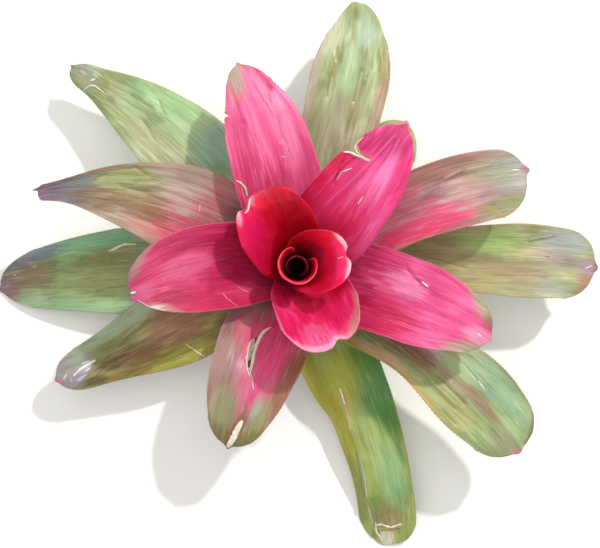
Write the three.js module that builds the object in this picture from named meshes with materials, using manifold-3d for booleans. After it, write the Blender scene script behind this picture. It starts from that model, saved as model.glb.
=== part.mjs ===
// A neoregelia, a bromeliad with a flat open rosette, as lifted and cut from the ground.
// Twenty strap leaves grow in a golden-angle spiral from a short domed stem. Their sheaths nest
// in one another round the heart and hold a narrow tube there, and their blades arch outwards.
// Millimetres and degrees, +Z up. The origin is the middle of the stem's flat cut base, and the
// rosette's axis is the Z axis. Leaf 1 is the youngest, in the heart, and leaf 20 the oldest.
import * as THREE from "three";
import { mergeVertices } from "three/addons/utils/BufferGeometryUtils.js";
import Module from "manifold-3d";

const LEAF_GAP = 0.35; // clearance between a leaf's foot and the stem
const SHEATH_THICKNESS = 1.2; // at the foot of a leaf, along its middle
const BLADE_THICKNESS = 1.0; // along the middle of the blade
const MARGIN_THICKNESS = 0.7; // at both margins
const SHEATH_LENGTH = 34; // the part of a leaf that wraps round the stem and the younger leaves
const BLADE_START = 96; // how far from its foot a leaf has opened out into its own curve
const CURL_LENGTH = 14; // the stretch at a leaf's end that curls over

const STEM_RADIUS = 19; // where the oldest leaves grow
const STEM_DOME_HEIGHT = 36; // from the oldest leaf's foot to the top of the stem
const STEM_DOME_START = 7; // height of the oldest leaf's foot
const CUT_RADIUS = 16; // of the flat cut base
const NECK_RADIUS = 17.2; // where the stem is widest below the dome
const NECK_HEIGHT = 4; // height of that place
const CUT_BEVEL = 1.5; // how high the cut base's rounded edge reaches

const FIRST_TURN = 94; // azimuth of leaf 1
const GOLDEN_ANGLE = 137.5; // from each leaf to the next older one
const YOUNGEST_LAUNCH = 90; // how steeply leaf 1 leaves the stem
const OLDEST_LAUNCH = 30; // how steeply leaf 20 leaves it

// One row for each leaf, from the heart outwards. In the order of its columns:
// turn, how far its foot is off the spiral, and drift, how far its tip has swung from its foot;
// length, from foot to tip; pitch, the slope it would end with, ease, how late it bends, and
// curl, how much further its last stretch turns down; widths, the half widths of its sheath, the
// middle of its blade, the outer blade and the end; cups, half the arc that the section turns
// through in the blade and at the end, negative where the margins hang; roll, how far the blade
// is turned about its own length; end, the length of the rounded end; point, the length of the
// pointed tip, or the depth of a notch where it is negative; and lean, where that stands across.
const LEAF_COLUMNS = [
  "turn", "drift", "length", "pitch", "ease", "curl", "widths", "cups", "roll", "end", "point", "lean",
];
const LEAF_ROWS = [
  [-14, 0, 74, 86, 3.0, 0, [14, 14, 14, 13], [120, 110], 0, 9, -2, 0],
  [12, 0, 81, 93, 3.0, 12, [20, 23, 24, 26], [150, 122], 0, 10, -3, 0],
  [4, 0, 92, 64, 2.2, 50, [22, 26, 26, 25], [92, 66], 0, 18, -3, 0],
  [-28, 0, 104, 45, 2.0, 45, [23, 28, 28, 27], [80, 50], 0, 20, -3.5, 0.4],
  [12, 0, 105, 50, 1.9, 45, [24, 29, 29, 28], [70, 44], 0, 20, -3.5, 0.1],
  [-12, 2.8, 153.5, 10, 1.7, 30, [25, 28, 24, 14.5], [34, 12], 0, 20, 3, 0],
  [-24, 15, 137, 0, 1.7, 30, [25, 28, 26, 17], [26, 10], 0, 20, 3, 0.2],
  [9, -6, 154.5, -4, 1.5, 30, [26, 27, 25, 15.5], [20, -12], 0, 16, 3, -0.1],
  [-13.5, 6.5, 150.5, -16, 1.5, 30, [26, 28, 24, 11.5], [20, -16], 0, 17, 3, -0.1],
  [-5.8, 4.1, 130.5, -20, 1.3, 20, [26, 30, 24, 15], [20, -14], 0, 15, 3, -0.1],
  [1.5, -10.5, 165, -4, 1.2, 20, [26, 21, 22.5, 20.5], [18, 8], 0, 18, 3, 0.35],
  [-16, 14.6, 177, -8, 1.1, 20, [27, 30.5, 18.5, 5.5], [20, 60], 0, 5, 4, -0.6],
  [23.6, -7, 187, -18, 1.1, 20, [27, 18.5, 26.5, 21.5], [8, -20], 0, 20, 3, -0.1],
  [-9.2, 4.3, 173.2, -20, 1.0, 30, [27, 24, 25.5, 14.5], [14, -16], 0, 29, 2, 0.35],
  [-13.3, -0.5, 168.6, -24, 0.9, 20, [27, 27, 17.5, 14.5], [-10, -50], 0, 20, 3, 0],
  [7.2, -4, 186, -12, 0.9, 20, [27, 20, 24, 21.5], [14, 6], 0, 20, 3, 0],
  [-2.2, 7.3, 190, -20, 0.9, 20, [27, 29.5, 19, 8.5], [10, -40], 0, 12, 3, -0.3],
  [22.9, -6.9, 193, -39, 0.9, 8, [26, 24.5, 21, 21], [-30, -34], 26, 20, 3, -0.1],
  [2, 2, 110, -31, 0.75, 10, [27, 24, 20, 16], [-6, -24], 0, 20, 3, 0],
  [-5.9, 2.9, 192, -29, 0.85, 0, [27, 29.5, 23, 17.5], [8, -22], 0, 29, 3, 0.2],
];
const LEAVES = LEAF_ROWS.map((row) => Object.fromEntries(row.map((value, i) => [LEAF_COLUMNS[i], value])));

// Tears in the blades, each an outline in plan that is cut through its leaf from top to bottom:
// a slit in the middle of leaf 10, a torn notch in leaf 6 and a nick in leaf 9.
const TEARS = [
  {
    leaf: 10,
    outline: [[-27.6, -46.9], [-29.1, -48], [-30.6, -53], [-31.6, -57.9], [-29.6, -56.5], [-28.4, -51.5]],
  },
  {
    leaf: 6,
    outline: [[22, 71.5], [34, 66.2], [42.5, 62.9], [36.2, 67.2], [34.2, 70.6], [36.8, 75.5]],
  },
  { leaf: 9, outline: [[-49, 88], [-41.5, 91.3], [-49, 97]] },
];

const wasm = await Module();
wasm.setup();

const rad = THREE.MathUtils.degToRad;
const mix = THREE.MathUtils.lerp;
const smoothstep = THREE.MathUtils.smoothstep;

// The stem's outline: a dome above STEM_DOME_START, as a quarter of an ellipse.
function domePoint(share) {
  const angle = share * 0.5 * Math.PI;
  return new THREE.Vector2(
    STEM_RADIUS * Math.sin(angle),
    STEM_DOME_START + STEM_DOME_HEIGHT * Math.cos(angle),
  );
}

function domeNormal(share) {
  const angle = share * 0.5 * Math.PI;
  return new THREE.Vector2(Math.sin(angle) / STEM_RADIUS, Math.cos(angle) / STEM_DOME_HEIGHT).normalize();
}

// Where on the dome leaf number index grows, 0 at the top and 1 at the oldest leaf's foot.
const FIRST_FOOT = 0.15;
const FOOT_EASE = 0.86; // under 1, so that the feet of the youngest leaves stand further apart
function footShare(index) {
  return mix(FIRST_FOOT, 1, Math.pow(index / (LEAVES.length - 1), FOOT_EASE));
}

// The leaf's middle line in its own upright plane, as points at equal steps of its length.
const SPINE_STEPS = 160;
function spineOf(leaf, index) {
  const share = footShare(index);
  const points = [domePoint(share).addScaledVector(domeNormal(share), LEAF_GAP + 0.5 * SHEATH_THICKNESS)];
  const launch = mix(YOUNGEST_LAUNCH, OLDEST_LAUNCH, index / (LEAVES.length - 1));
  const curlStart = 1 - CURL_LENGTH / leaf.length;
  for (let i = 0; i < SPINE_STEPS; i++) {
    const t = (i + 0.5) / SPINE_STEPS;
    const bend = mix(launch, leaf.pitch, Math.pow(t, leaf.ease));
    const slope = rad(bend - leaf.curl * smoothstep(t, curlStart, 1));
    const step = new THREE.Vector2(Math.cos(slope), Math.sin(slope));
    points.push(points[i].clone().addScaledVector(step, leaf.length / SPINE_STEPS));
  }
  return points;
}

// Half the leaf's width at t, the share of its length from foot to tip. It follows a broken line
// through the row's four widths, and the mean over these shifts in t rounds that line's corners.
const WIDTH_PLACES = [0.2, 0.48, 0.74, 0.92];
const CORNER_SHIFTS = [-0.06, -0.02, 0.02, 0.06];
function brokenLine(widths, t) {
  let width = widths[0];
  for (let i = 1; i < WIDTH_PLACES.length; i++) {
    const share = THREE.MathUtils.inverseLerp(WIDTH_PLACES[i - 1], WIDTH_PLACES[i], t);
    width = mix(width, widths[i], THREE.MathUtils.clamp(share, 0, 1));
  }
  return width;
}

function halfWidth(leaf, t) {
  const sum = CORNER_SHIFTS.reduce((total, shift) => total + brokenLine(leaf.widths, t + shift), 0);
  return sum / CORNER_SHIFTS.length;
}

// How much of its length the leaf has at x across it: the rounded end, with its point or notch.
const POINT_SPREAD = 0.13;
function lengthShare(leaf, x) {
  const round = leaf.end * (1 - Math.sqrt(1 - Math.min(1, x * x)));
  const point = leaf.point * (1 - Math.exp(-Math.pow((x - leaf.lean) / POINT_SPREAD, 2)));
  const longest = Math.max(0, -leaf.point);
  return 1 - (round + point + longest) / leaf.length;
}

// The frame of the leaf at t: its middle point and the directions across and out of its section.
const SLOPE_STEP = 0.004; // the step in t over which the middle line's direction is taken
function sectionFrame(leaf, index, spine, t) {
  const azimuthAt = (s) => rad(FIRST_TURN + GOLDEN_ANGLE * index + leaf.turn + leaf.drift * s * s);
  const pointAt = (s) => {
    const place = Math.min(1, Math.max(0, s)) * SPINE_STEPS;
    const i = Math.min(SPINE_STEPS - 1, Math.floor(place));
    const p = spine[i].clone().lerp(spine[i + 1], place - i);
    return new THREE.Vector3(p.x * Math.cos(azimuthAt(s)), p.x * Math.sin(azimuthAt(s)), p.y);
  };
  const middle = pointAt(t);
  const along = pointAt(t + SLOPE_STEP).sub(pointAt(t - SLOPE_STEP)).normalize();
  const azimuth = azimuthAt(t);
  const round = new THREE.Vector3(-Math.sin(azimuth), Math.cos(azimuth), 0);
  const inward = new THREE.Vector3(-Math.cos(azimuth), -Math.sin(azimuth), 0);
  const across = round.clone().addScaledVector(along, -round.dot(along)).normalize();
  const up = along.clone().cross(across);
  return { middle, along, round, inward, across, up, radius: Math.hypot(middle.x, middle.y) };
}

// A point of the leaf's middle surface: t along it and x across it, from -1 to 1.
// Low down the section is an arc round the rosette's axis; in the blade it has its own curve.
const FLATTEST_CUP = 1e-4; // a flat section is taken as a very wide arc
function leafPoint(leaf, index, spine, t, x) {
  const { middle, along, round, inward, across, up, radius } = sectionFrame(leaf, index, spine, t);
  const width = halfWidth(leaf, t);
  const opened = smoothstep(t * leaf.length, SHEATH_LENGTH, BLADE_START);
  const bladeCup = rad(mix(leaf.cups[0], leaf.cups[1], smoothstep(t, 0.5, 1)));
  let cup = mix(width / radius, bladeCup, opened);
  if (Math.abs(cup) < FLATTEST_CUP) cup = FLATTEST_CUP;
  const roll = rad(leaf.roll) * opened;
  const side = round.clone().lerp(across, opened).applyAxisAngle(along, roll).normalize();
  const rise = inward.clone().lerp(up, opened).applyAxisAngle(along, roll).normalize();
  return middle
    .clone()
    .addScaledVector(side, (width * Math.sin(cup * x)) / cup)
    .addScaledVector(rise, (width * (1 - Math.cos(cup * x))) / cup);
}

// A point of its upper face, where side is 1, or of its lower face, where side is -1.
const NORMAL_STEP = 0.004; // the step in t and x over which the surface's direction is taken
function facePoint(leaf, index, spine, t, x, side) {
  const at = (a, b) => leafPoint(leaf, index, spine, Math.min(1, Math.max(0, a)), b);
  const along = at(t + NORMAL_STEP, x).sub(at(t - NORMAL_STEP, x));
  const across = at(t, x + NORMAL_STEP).sub(at(t, x - NORMAL_STEP));
  const normal = along.cross(across).normalize();
  const middle = mix(SHEATH_THICKNESS, BLADE_THICKNESS, smoothstep(t, 0, 0.5));
  const thickness = mix(middle, MARGIN_THICKNESS, x * x);
  return at(t, x).addScaledVector(normal, 0.5 * side * thickness);
}

// One leaf as a closed thin solid: its upper and lower faces on one grid, and a wall round them.
const END_CROWDING = 1.25; // over 1, so that the stations stand closer together towards the end
function leafGeometry(leaf, index, stations, strips) {
  const spine = spineOf(leaf, index);
  const positions = [];
  for (const side of [1, -1])
    for (let i = 0; i <= stations; i++) {
      const u = 1 - Math.pow(1 - i / stations, END_CROWDING);
      for (let j = 0; j <= strips; j++) {
        const even = -1 + (2 * j) / strips;
        const x = mix(even, Math.sin(0.5 * Math.PI * even), u); // closer to the margins at the end
        positions.push(...facePoint(leaf, index, spine, u * lengthShare(leaf, x), x, side));
      }
    }
  const under = (stations + 1) * (strips + 1);
  const at = (i, j) => i * (strips + 1) + j;
  const triangles = [];
  const quad = (a, b, c, d) => triangles.push(a, b, c, a, c, d);
  for (let i = 0; i < stations; i++)
    for (let j = 0; j < strips; j++) {
      const [a, b, c, d] = [at(i, j), at(i + 1, j), at(i + 1, j + 1), at(i, j + 1)];
      quad(a, b, c, d);
      triangles.push(under + a, under + c, under + b, under + a, under + d, under + c);
    }
  const wall = (a, b) => quad(a, a + under, b + under, b);
  for (let i = 0; i < stations; i++) {
    wall(at(i, 0), at(i + 1, 0));
    wall(at(i + 1, strips), at(i, strips));
  }
  for (let j = 0; j < strips; j++) {
    wall(at(0, j + 1), at(0, j));
    wall(at(stations, j), at(stations, j + 1));
  }
  const geometry = new THREE.BufferGeometry();
  geometry.setAttribute("position", new THREE.Float32BufferAttribute(positions, 3));
  geometry.setIndex(triangles);
  return geometry;
}

// The same leaf with its tears cut out of it.
const TEAR_CUT_HEIGHT = 200;
function tornLeaf(geometry, number) {
  let solid = solidOf(geometry);
  for (const tear of TEARS.filter((entry) => entry.leaf === number)) {
    const outline = new THREE.Shape(tear.outline.map(([x, y]) => new THREE.Vector2(x, y)));
    const cut = new THREE.ExtrudeGeometry(outline, { depth: TEAR_CUT_HEIGHT, bevelEnabled: false });
    solid = solid.subtract(solidOf(cut));
  }
  return geometryOf(solid);
}

const WELD_DISTANCE = 1e-4; // points closer than this are one point
function solidOf(geometry) {
  const bare = new THREE.BufferGeometry().setAttribute("position", geometry.getAttribute("position"));
  bare.setIndex(geometry.getIndex());
  const merged = mergeVertices(bare, WELD_DISTANCE);
  const vertProperties = merged.getAttribute("position").array;
  const triVerts = new Uint32Array(merged.getIndex().array);
  return new wasm.Manifold(new wasm.Mesh({ numProp: 3, vertProperties, triVerts }));
}

function geometryOf(solid) {
  const mesh = solid.getMesh();
  const geometry = new THREE.BufferGeometry();
  geometry.setAttribute("position", new THREE.Float32BufferAttribute(mesh.vertProperties, 3));
  geometry.setIndex(Array.from(mesh.triVerts));
  return geometry;
}

// The stem: a flat cut base, a short neck, and the dome that the leaves grow on.
const DOME_STEPS = 10;
const STEM_FACETS = 28;
function stemGeometry() {
  const profile = [
    new THREE.Vector2(0, 0),
    new THREE.Vector2(CUT_RADIUS, 0),
    new THREE.Vector2(mix(CUT_RADIUS, NECK_RADIUS, 2 / 3), CUT_BEVEL),
    new THREE.Vector2(NECK_RADIUS, NECK_HEIGHT),
  ];
  for (let i = 0; i < DOME_STEPS; i++) profile.push(domePoint(1 - i / DOME_STEPS));
  profile.push(new THREE.Vector2(0, STEM_DOME_START + STEM_DOME_HEIGHT));
  return new THREE.LatheGeometry(profile, STEM_FACETS).rotateX(0.5 * Math.PI);
}

const part = new THREE.Group();
const add = (name, geometry, colour, roughness) => {
  geometry.computeVertexNormals();
  const material = new THREE.MeshStandardMaterial({ color: colour, roughness, metalness: 0 });
  const mesh = new THREE.Mesh(geometry, material);
  mesh.name = name;
  part.add(mesh);
};

// How many facets a leaf has: the heart's tight curls need the most across.
const STATIONS = 15;
const stripsAcross = (number) => (number <= 5 ? 14 : number <= 10 ? 10 : 8);

// The youngest leaves are crimson, the next ones pink, and the oldest green.
const leafColour = (number) => (number <= 5 ? 0xc81436 : number <= 10 ? 0xe0457c : 0x9aa860);

add("stem", stemGeometry(), 0x8a6b45, 0.85);
LEAVES.forEach((leaf, index) => {
  const number = index + 1;
  const whole = leafGeometry(leaf, index, STATIONS, stripsAcross(number));
  add("leaf_" + String(number).padStart(2, "0"), tornLeaf(whole, number), leafColour(number), 0.45);
});

export default part;
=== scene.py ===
# %% [markdown]
# # A pink neoregelia, leaf by leaf
#
# This plant is a bromeliad: a flat rosette of twenty strap leaves that grow in a spiral from a
# short stem, crimson in the heart, hot pink round it and green outside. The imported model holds
# one plain solid for each leaf and one for the stem. Here every leaf is made again on the same
# formula with a much finer sheet, so that it can have flutes, creases, teeth and tears, and then
# each one is painted.
#
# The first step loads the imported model. Its pieces stay where they are, and the new ones take
# their places in the same frame, in metres.

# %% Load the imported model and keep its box
import math
from collections import namedtuple

import bmesh
import bpy
import numpy as np
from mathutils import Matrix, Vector, noise


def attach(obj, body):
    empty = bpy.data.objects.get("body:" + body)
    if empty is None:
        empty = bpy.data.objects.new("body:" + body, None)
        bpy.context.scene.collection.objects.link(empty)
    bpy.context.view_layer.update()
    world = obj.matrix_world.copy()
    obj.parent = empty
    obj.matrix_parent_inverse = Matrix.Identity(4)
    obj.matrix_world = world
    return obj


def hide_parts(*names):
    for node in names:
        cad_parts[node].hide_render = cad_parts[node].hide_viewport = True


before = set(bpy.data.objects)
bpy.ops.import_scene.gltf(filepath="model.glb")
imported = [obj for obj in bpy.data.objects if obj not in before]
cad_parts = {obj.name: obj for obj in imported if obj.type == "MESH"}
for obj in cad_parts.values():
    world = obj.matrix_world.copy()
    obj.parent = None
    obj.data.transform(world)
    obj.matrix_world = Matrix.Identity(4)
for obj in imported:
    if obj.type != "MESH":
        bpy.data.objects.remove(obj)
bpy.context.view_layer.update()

MM = 0.001

# %% [markdown]
# ## The camera
#
# The picture was taken from straight above, from about a metre. A camera in Blender looks along
# its own -Z, so with no turn at all it looks straight down, and the top of its picture is +Y.
# How large a thing comes out is told by the focal length, here in picture points: so many of
# them cover one metre at a distance of one metre. The lens in millimetres follows from it and
# from the widths of the picture and of the sensor. A camera this near also shows the leaves that
# stand high a little larger than the low ones, as the real picture does.

# %% Camera
IMAGE_WIDTH = 600
FOCAL_PIXELS = 1470
SENSOR_WIDTH = 36
CAMERA_PLACE = (1.75 * MM, -4.7 * MM, 1.0)

camera = bpy.data.objects.new("camera", bpy.data.cameras.new("camera"))
bpy.context.scene.collection.objects.link(camera)
camera.location = CAMERA_PLACE
camera.data.sensor_width = SENSOR_WIDTH
camera.data.lens = SENSOR_WIDTH * FOCAL_PIXELS / IMAGE_WIDTH
bpy.context.scene.camera = camera
print("camera lens:", round(camera.data.lens, 1), "mm")

# %% [markdown]
# ## The floor and the light
#
# The plant stands on a plain pale floor. One softbox stands at the upper right, as the sun does
# in the picture, small enough to draw each leaf's shadow on the next one. A large one overhead
# gives the leaves their broad sheen, and a pale world fills the shadows. Colours are shown by the
# Standard transform, because the filmic ones turn a strong pink pale.

# %% Floor and light
def tint(code):
    """A colour written as on the web, such as F0A0B0, in the linear values that nodes take."""
    parts = [int(code[i : i + 2], 16) / 255 for i in (0, 2, 4)]
    linear = [p / 12.92 if p <= 0.04045 else ((p + 0.055) / 1.055) ** 2.4 for p in parts]
    return (*linear, 1.0)


def add_node(tree, kind, inputs=None, **settings):
    """A new node with its settings, and with each input linked to a socket or set to a value."""
    made = tree.nodes.new(kind)
    for name, value in settings.items():
        setattr(made, name, value)
    for key, value in (inputs or {}).items():
        if isinstance(value, bpy.types.NodeSocket):
            tree.links.new(value, made.inputs[key])
        else:
            made.inputs[key].default_value = value
    return made


def new_material(name):
    """A material with an empty tree, and its output node."""
    material = bpy.data.materials.new(name)
    material.use_nodes = True
    material.node_tree.nodes.clear()
    return material, material.node_tree, add_node(material.node_tree, "ShaderNodeOutputMaterial")


def add_object(name, bm):
    """An object in the scene whose mesh is the finished bmesh."""
    mesh = bpy.data.meshes.new(name)
    bm.to_mesh(mesh)
    bm.free()
    made = bpy.data.objects.new(name, mesh)
    bpy.context.scene.collection.objects.link(made)
    return made


FLOOR_SIZE, AIM_HEIGHT = 6.0, 0.08
bm = bmesh.new()
bmesh.ops.create_grid(bm, x_segments=1, y_segments=1, size=0.5 * FLOOR_SIZE)
floor = add_object("floor", bm)
material, tree, output = new_material("pale_floor")
paper = add_node(tree, "ShaderNodeBsdfPrincipled", {"Base Color": tint("F4F3F1"), "Roughness": 0.9})
tree.links.new(paper.outputs["BSDF"], output.inputs["Surface"])
floor.data.materials.append(material)


def add_softbox(name, azimuth, elevation, distance, size, power, colour):
    """A square area light that looks at the heart of the plant from the given direction."""
    lamp = bpy.data.objects.new(name, bpy.data.lights.new(name, "AREA"))
    bpy.context.scene.collection.objects.link(lamp)
    level = math.cos(math.radians(elevation))
    way = Vector((math.cos(math.radians(azimuth)) * level, math.sin(math.radians(azimuth)) * level,
                  math.sin(math.radians(elevation))))
    lamp.location = way * distance + Vector((0, 0, AIM_HEIGHT))
    lamp.rotation_euler = way.to_track_quat("Z", "Y").to_euler()
    lamp.data.size = size
    lamp.data.energy = power
    lamp.data.color = colour


add_softbox("key", azimuth=50, elevation=54, distance=2.2, size=0.08, power=31,
            colour=(1.0, 0.97, 0.93))
add_softbox("overhead", azimuth=140, elevation=81, distance=1.8, size=1.4, power=13,
            colour=(1.0, 0.985, 0.97))

world = bpy.data.worlds.new("pale_room")
world.use_nodes = True
world.node_tree.nodes["Background"].inputs["Color"].default_value = (1.0, 0.99, 0.98, 1.0)
world.node_tree.nodes["Background"].inputs["Strength"].default_value = 0.6
bpy.context.scene.world = world
bpy.context.scene.view_settings.view_transform = "Standard"

# %% [markdown]
# ## The leaves' measures
#
# Neoregelias follow the golden angle: each new leaf stands 137.5 degrees round from the one
# before it. Twelve measures say how a leaf differs from that plan and from its neighbours. The
# first are its turn off its place, its sideways drift from foot to tip, and its length. Then come
# the slope that it bends to, how late it bends, and how far its tip curls down. Its half width is
# given at four places, and the cup of its section at the middle and at the tip. The last are its
# roll about its own line, the rounding of its end, its point, where less than nothing is a notch,
# and how far off the middle that sits, as a share of the half width. They are the same as in the
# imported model, in millimetres and degrees, so the fine leaves lie just where the plain ones do.
# A table with one row a leaf is easier to tune than twenty objects.

# %% Leaf table
Leaf = namedtuple("Leaf", "turn drift length pitch ease curl widths cups roll end point lean")
LEAVES = [
    Leaf(-14, 0, 74, 86, 3.0, 0, (14, 14, 14, 13), (120, 110), 0, 9, -2, 0),
    Leaf(12, 0, 81, 93, 3.0, 12, (20, 23, 24, 26), (150, 122), 0, 10, -3, 0),
    Leaf(4, 0, 92, 64, 2.2, 50, (22, 26, 26, 25), (92, 66), 0, 18, -3, 0),
    Leaf(-28, 0, 104, 45, 2.0, 45, (23, 28, 28, 27), (80, 50), 0, 20, -3.5, 0.4),
    Leaf(12, 0, 105, 50, 1.9, 45, (24, 29, 29, 28), (70, 44), 0, 20, -3.5, 0.1),
    Leaf(-12, 2.8, 153.5, 10, 1.7, 30, (25, 28, 24, 14.5), (34, 12), 0, 20, 3, 0),
    Leaf(-24, 15, 137, 0, 1.7, 30, (25, 28, 26, 17), (26, 10), 0, 20, 3, 0.2),
    Leaf(9, -6, 154.5, -4, 1.5, 30, (26, 27, 25, 15.5), (20, -12), 0, 16, 3, -0.1),
    Leaf(-13.5, 6.5, 150.5, -16, 1.5, 30, (26, 28, 24, 11.5), (20, -16), 0, 17, 3, -0.1),
    Leaf(-5.8, 4.1, 130.5, -20, 1.3, 20, (26, 30, 24, 15), (20, -14), 0, 15, 3, -0.1),
    Leaf(1.5, -10.5, 165, -4, 1.2, 20, (26, 21, 22.5, 20.5), (18, 8), 0, 18, 3, 0.35),
    Leaf(-16, 14.6, 177, -8, 1.1, 20, (27, 30.5, 18.5, 5.5), (20, 60), 0, 5, 4, -0.6),
    Leaf(23.6, -7, 187, -18, 1.1, 20, (27, 18.5, 26.5, 21.5), (8, -20), 0, 20, 3, -0.1),
    Leaf(-9.2, 4.3, 173.2, -20, 1.0, 30, (27, 24, 25.5, 14.5), (14, -16), 0, 29, 2, 0.35),
    Leaf(-13.3, -0.5, 168.6, -24, 0.9, 20, (27, 27, 17.5, 14.5), (-10, -50), 0, 20, 3, 0),
    Leaf(7.2, -4, 186, -12, 0.9, 20, (27, 20, 24, 21.5), (14, 6), 0, 20, 3, 0),
    Leaf(-2.2, 7.3, 190, -20, 0.9, 20, (27, 29.5, 19, 8.5), (10, -40), 0, 12, 3, -0.3),
    Leaf(22.9, -6.9, 193, -39, 0.9, 8, (26, 24.5, 21, 21), (-30, -34), 26, 20, 3, -0.1),
    Leaf(2, 2, 110, -31, 0.75, 10, (27, 24, 20, 16), (-6, -24), 0, 20, 3, 0),
    Leaf(-5.9, 2.9, 192, -29, 0.85, 0, (27, 29.5, 23, 17.5), (8, -22), 0, 29, 3, 0.2),
]
OLDEST = len(LEAVES) - 1
LAST_HEART, LAST_PINK = 5, 10
print("leaves:", len(LEAVES), "longest:", max(leaf.length for leaf in LEAVES), "mm")

# %% [markdown]
# ## A leaf's middle line
#
# Each leaf is fixed on a dome-shaped stem, leaves it steeply if it is young and flatly if it is
# old, and bends over more and more towards its tip. The line is followed in 160 short steps,
# each with its own slope, as a carpenter would bend a lath. Seen from above it also swings a
# little out of its plane, which the drift gives.

# %% Middle line
STEM_RADIUS, STEM_DOME_HEIGHT, STEM_DOME_START = 19, 36, 7
LEAF_GAP, SHEATH_THICKNESS, BLADE_THICKNESS = 0.35, 1.2, 1.0
FIRST_TURN, GOLDEN_ANGLE = 94, 137.5
YOUNGEST_LAUNCH, OLDEST_LAUNCH = 90, 30
FIRST_FOOT, FOOT_EASE = 0.15, 0.86
CURL_LENGTH = 14
SPINE_STEPS = 160


def mix(first, second, share):
    return first + (second - first) * share


def ramp(value, low, high):
    """0 below low, 1 above high, and a smooth way between them."""
    share = np.clip((value - low) / (high - low), 0, 1)
    return share * share * (3 - 2 * share)


def unit(vectors):
    return vectors / np.linalg.norm(vectors, axis=-1, keepdims=True)


def spine_of(index):
    """The middle line as distances from the axis and heights, at equal steps of its length."""
    leaf = LEAVES[index]
    angle = mix(FIRST_FOOT, 1, (index / OLDEST) ** FOOT_EASE) * math.pi / 2
    foot = np.array([STEM_RADIUS * math.sin(angle), STEM_DOME_START + STEM_DOME_HEIGHT * math.cos(angle)])
    outward = unit(np.array([math.sin(angle) / STEM_RADIUS, math.cos(angle) / STEM_DOME_HEIGHT]))
    start = foot + outward * (LEAF_GAP + SHEATH_THICKNESS / 2)
    launch = mix(YOUNGEST_LAUNCH, OLDEST_LAUNCH, index / OLDEST)
    t = (np.arange(SPINE_STEPS) + 0.5) / SPINE_STEPS
    bend = mix(launch, leaf.pitch, t**leaf.ease)
    slope = np.radians(bend - leaf.curl * ramp(t, 1 - CURL_LENGTH / leaf.length, 1))
    steps = np.stack([np.cos(slope), np.sin(slope)], axis=1) * leaf.length / SPINE_STEPS
    return np.vstack([start, start + np.cumsum(steps, axis=0)])


SPINES = [spine_of(index) for index in range(len(LEAVES))]


def azimuth_of(index, t):
    leaf = LEAVES[index]
    return np.radians(FIRST_TURN + GOLDEN_ANGLE * index + leaf.turn + leaf.drift * t * t)


def middle_of(index, t):
    shares = np.linspace(0, 1, SPINE_STEPS + 1)
    reach, height = (np.interp(t, shares, SPINES[index][:, k]) for k in (0, 1))
    azimuth = azimuth_of(index, t)
    return np.stack([reach * np.cos(azimuth), reach * np.sin(azimuth), height], axis=-1)


print("tip of the oldest leaf:", middle_of(OLDEST, np.array(1.0)).round(1), "mm")

# %% [markdown]
# ## A leaf's sheet
#
# Low down a bromeliad's leaf is a broad sheath that wraps round all the younger ones, so its
# section there is an arc round the plant's axis. Past the cup in the middle it opens out into a
# blade with a section of its own: a shallow channel, or a saddle where the margins hang. One
# function gives the place of any point, from t along the leaf and x across it, and everything
# else that is put on the leaf later uses the same function.

# %% Leaf sheet
SHEATH_LENGTH, BLADE_START = 34, 96
WIDTH_PLACES = (0.2, 0.48, 0.74, 0.92)
CORNER_SHIFTS = (-0.06, -0.02, 0.02, 0.06)
POINT_SPREAD = 0.13
SLOPE_STEP, FLATTEST_CUP, TIP_CUP_START = 0.004, 1e-4, 0.5


def half_width(leaf, t):
    """A broken line through the leaf's four widths; the mean over the shifts rounds its corners."""
    shifted = [np.interp(t + shift, WIDTH_PLACES, leaf.widths) for shift in CORNER_SHIFTS]
    return sum(shifted) / len(shifted)


def length_share(leaf, x):
    """How much of its length the leaf has at x: its rounded end, with its point or notch."""
    rounding = leaf.end * (1 - np.sqrt(1 - np.minimum(1, x * x)))
    point = leaf.point * (1 - np.exp(-(((x - leaf.lean) / POINT_SPREAD) ** 2)))
    return 1 - (rounding + point + max(0, -leaf.point)) / leaf.length


def turned(vectors, axes, angles):
    """The vectors turned about the unit axes."""
    cos, sin = np.cos(angles)[..., None], np.sin(angles)[..., None]
    kept = (axes * vectors).sum(-1, keepdims=True)
    return vectors * cos + np.cross(axes, vectors) * sin + axes * kept * (1 - cos)


def sheet_point(index, t, x):
    """Points of the leaf's middle surface, in millimetres."""
    leaf = LEAVES[index]
    middle = middle_of(index, t)
    along = unit(middle_of(index, t + SLOPE_STEP) - middle_of(index, t - SLOPE_STEP))
    azimuth = azimuth_of(index, t)
    flat = np.zeros_like(azimuth)
    sideways = np.stack([-np.sin(azimuth), np.cos(azimuth), flat], axis=-1)
    inward = np.stack([-np.cos(azimuth), -np.sin(azimuth), flat], axis=-1)
    across = unit(sideways - along * (sideways * along).sum(-1, keepdims=True))
    up = np.cross(along, across)
    width = half_width(leaf, t)
    opened = ramp(t * leaf.length, SHEATH_LENGTH, BLADE_START)
    blade_cup = np.radians(mix(leaf.cups[0], leaf.cups[1], ramp(t, TIP_CUP_START, 1)))
    cup = mix(width / np.hypot(middle[..., 0], middle[..., 1]), blade_cup, opened)
    cup = np.where(np.abs(cup) < FLATTEST_CUP, FLATTEST_CUP, cup)
    roll = np.radians(leaf.roll) * opened
    side = unit(turned(mix(sideways, across, opened[..., None]), along, roll))
    rise = unit(turned(mix(inward, up, opened[..., None]), along, roll))
    sidestep = (width * np.sin(cup * x) / cup)[..., None]
    lift = (width * (1 - np.cos(cup * x)) / cup)[..., None]
    return middle + side * sidestep + rise * lift


print("foot of the oldest leaf:", sheet_point(OLDEST, np.array(0.0), np.array(0.0)).round(1), "mm")

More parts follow.
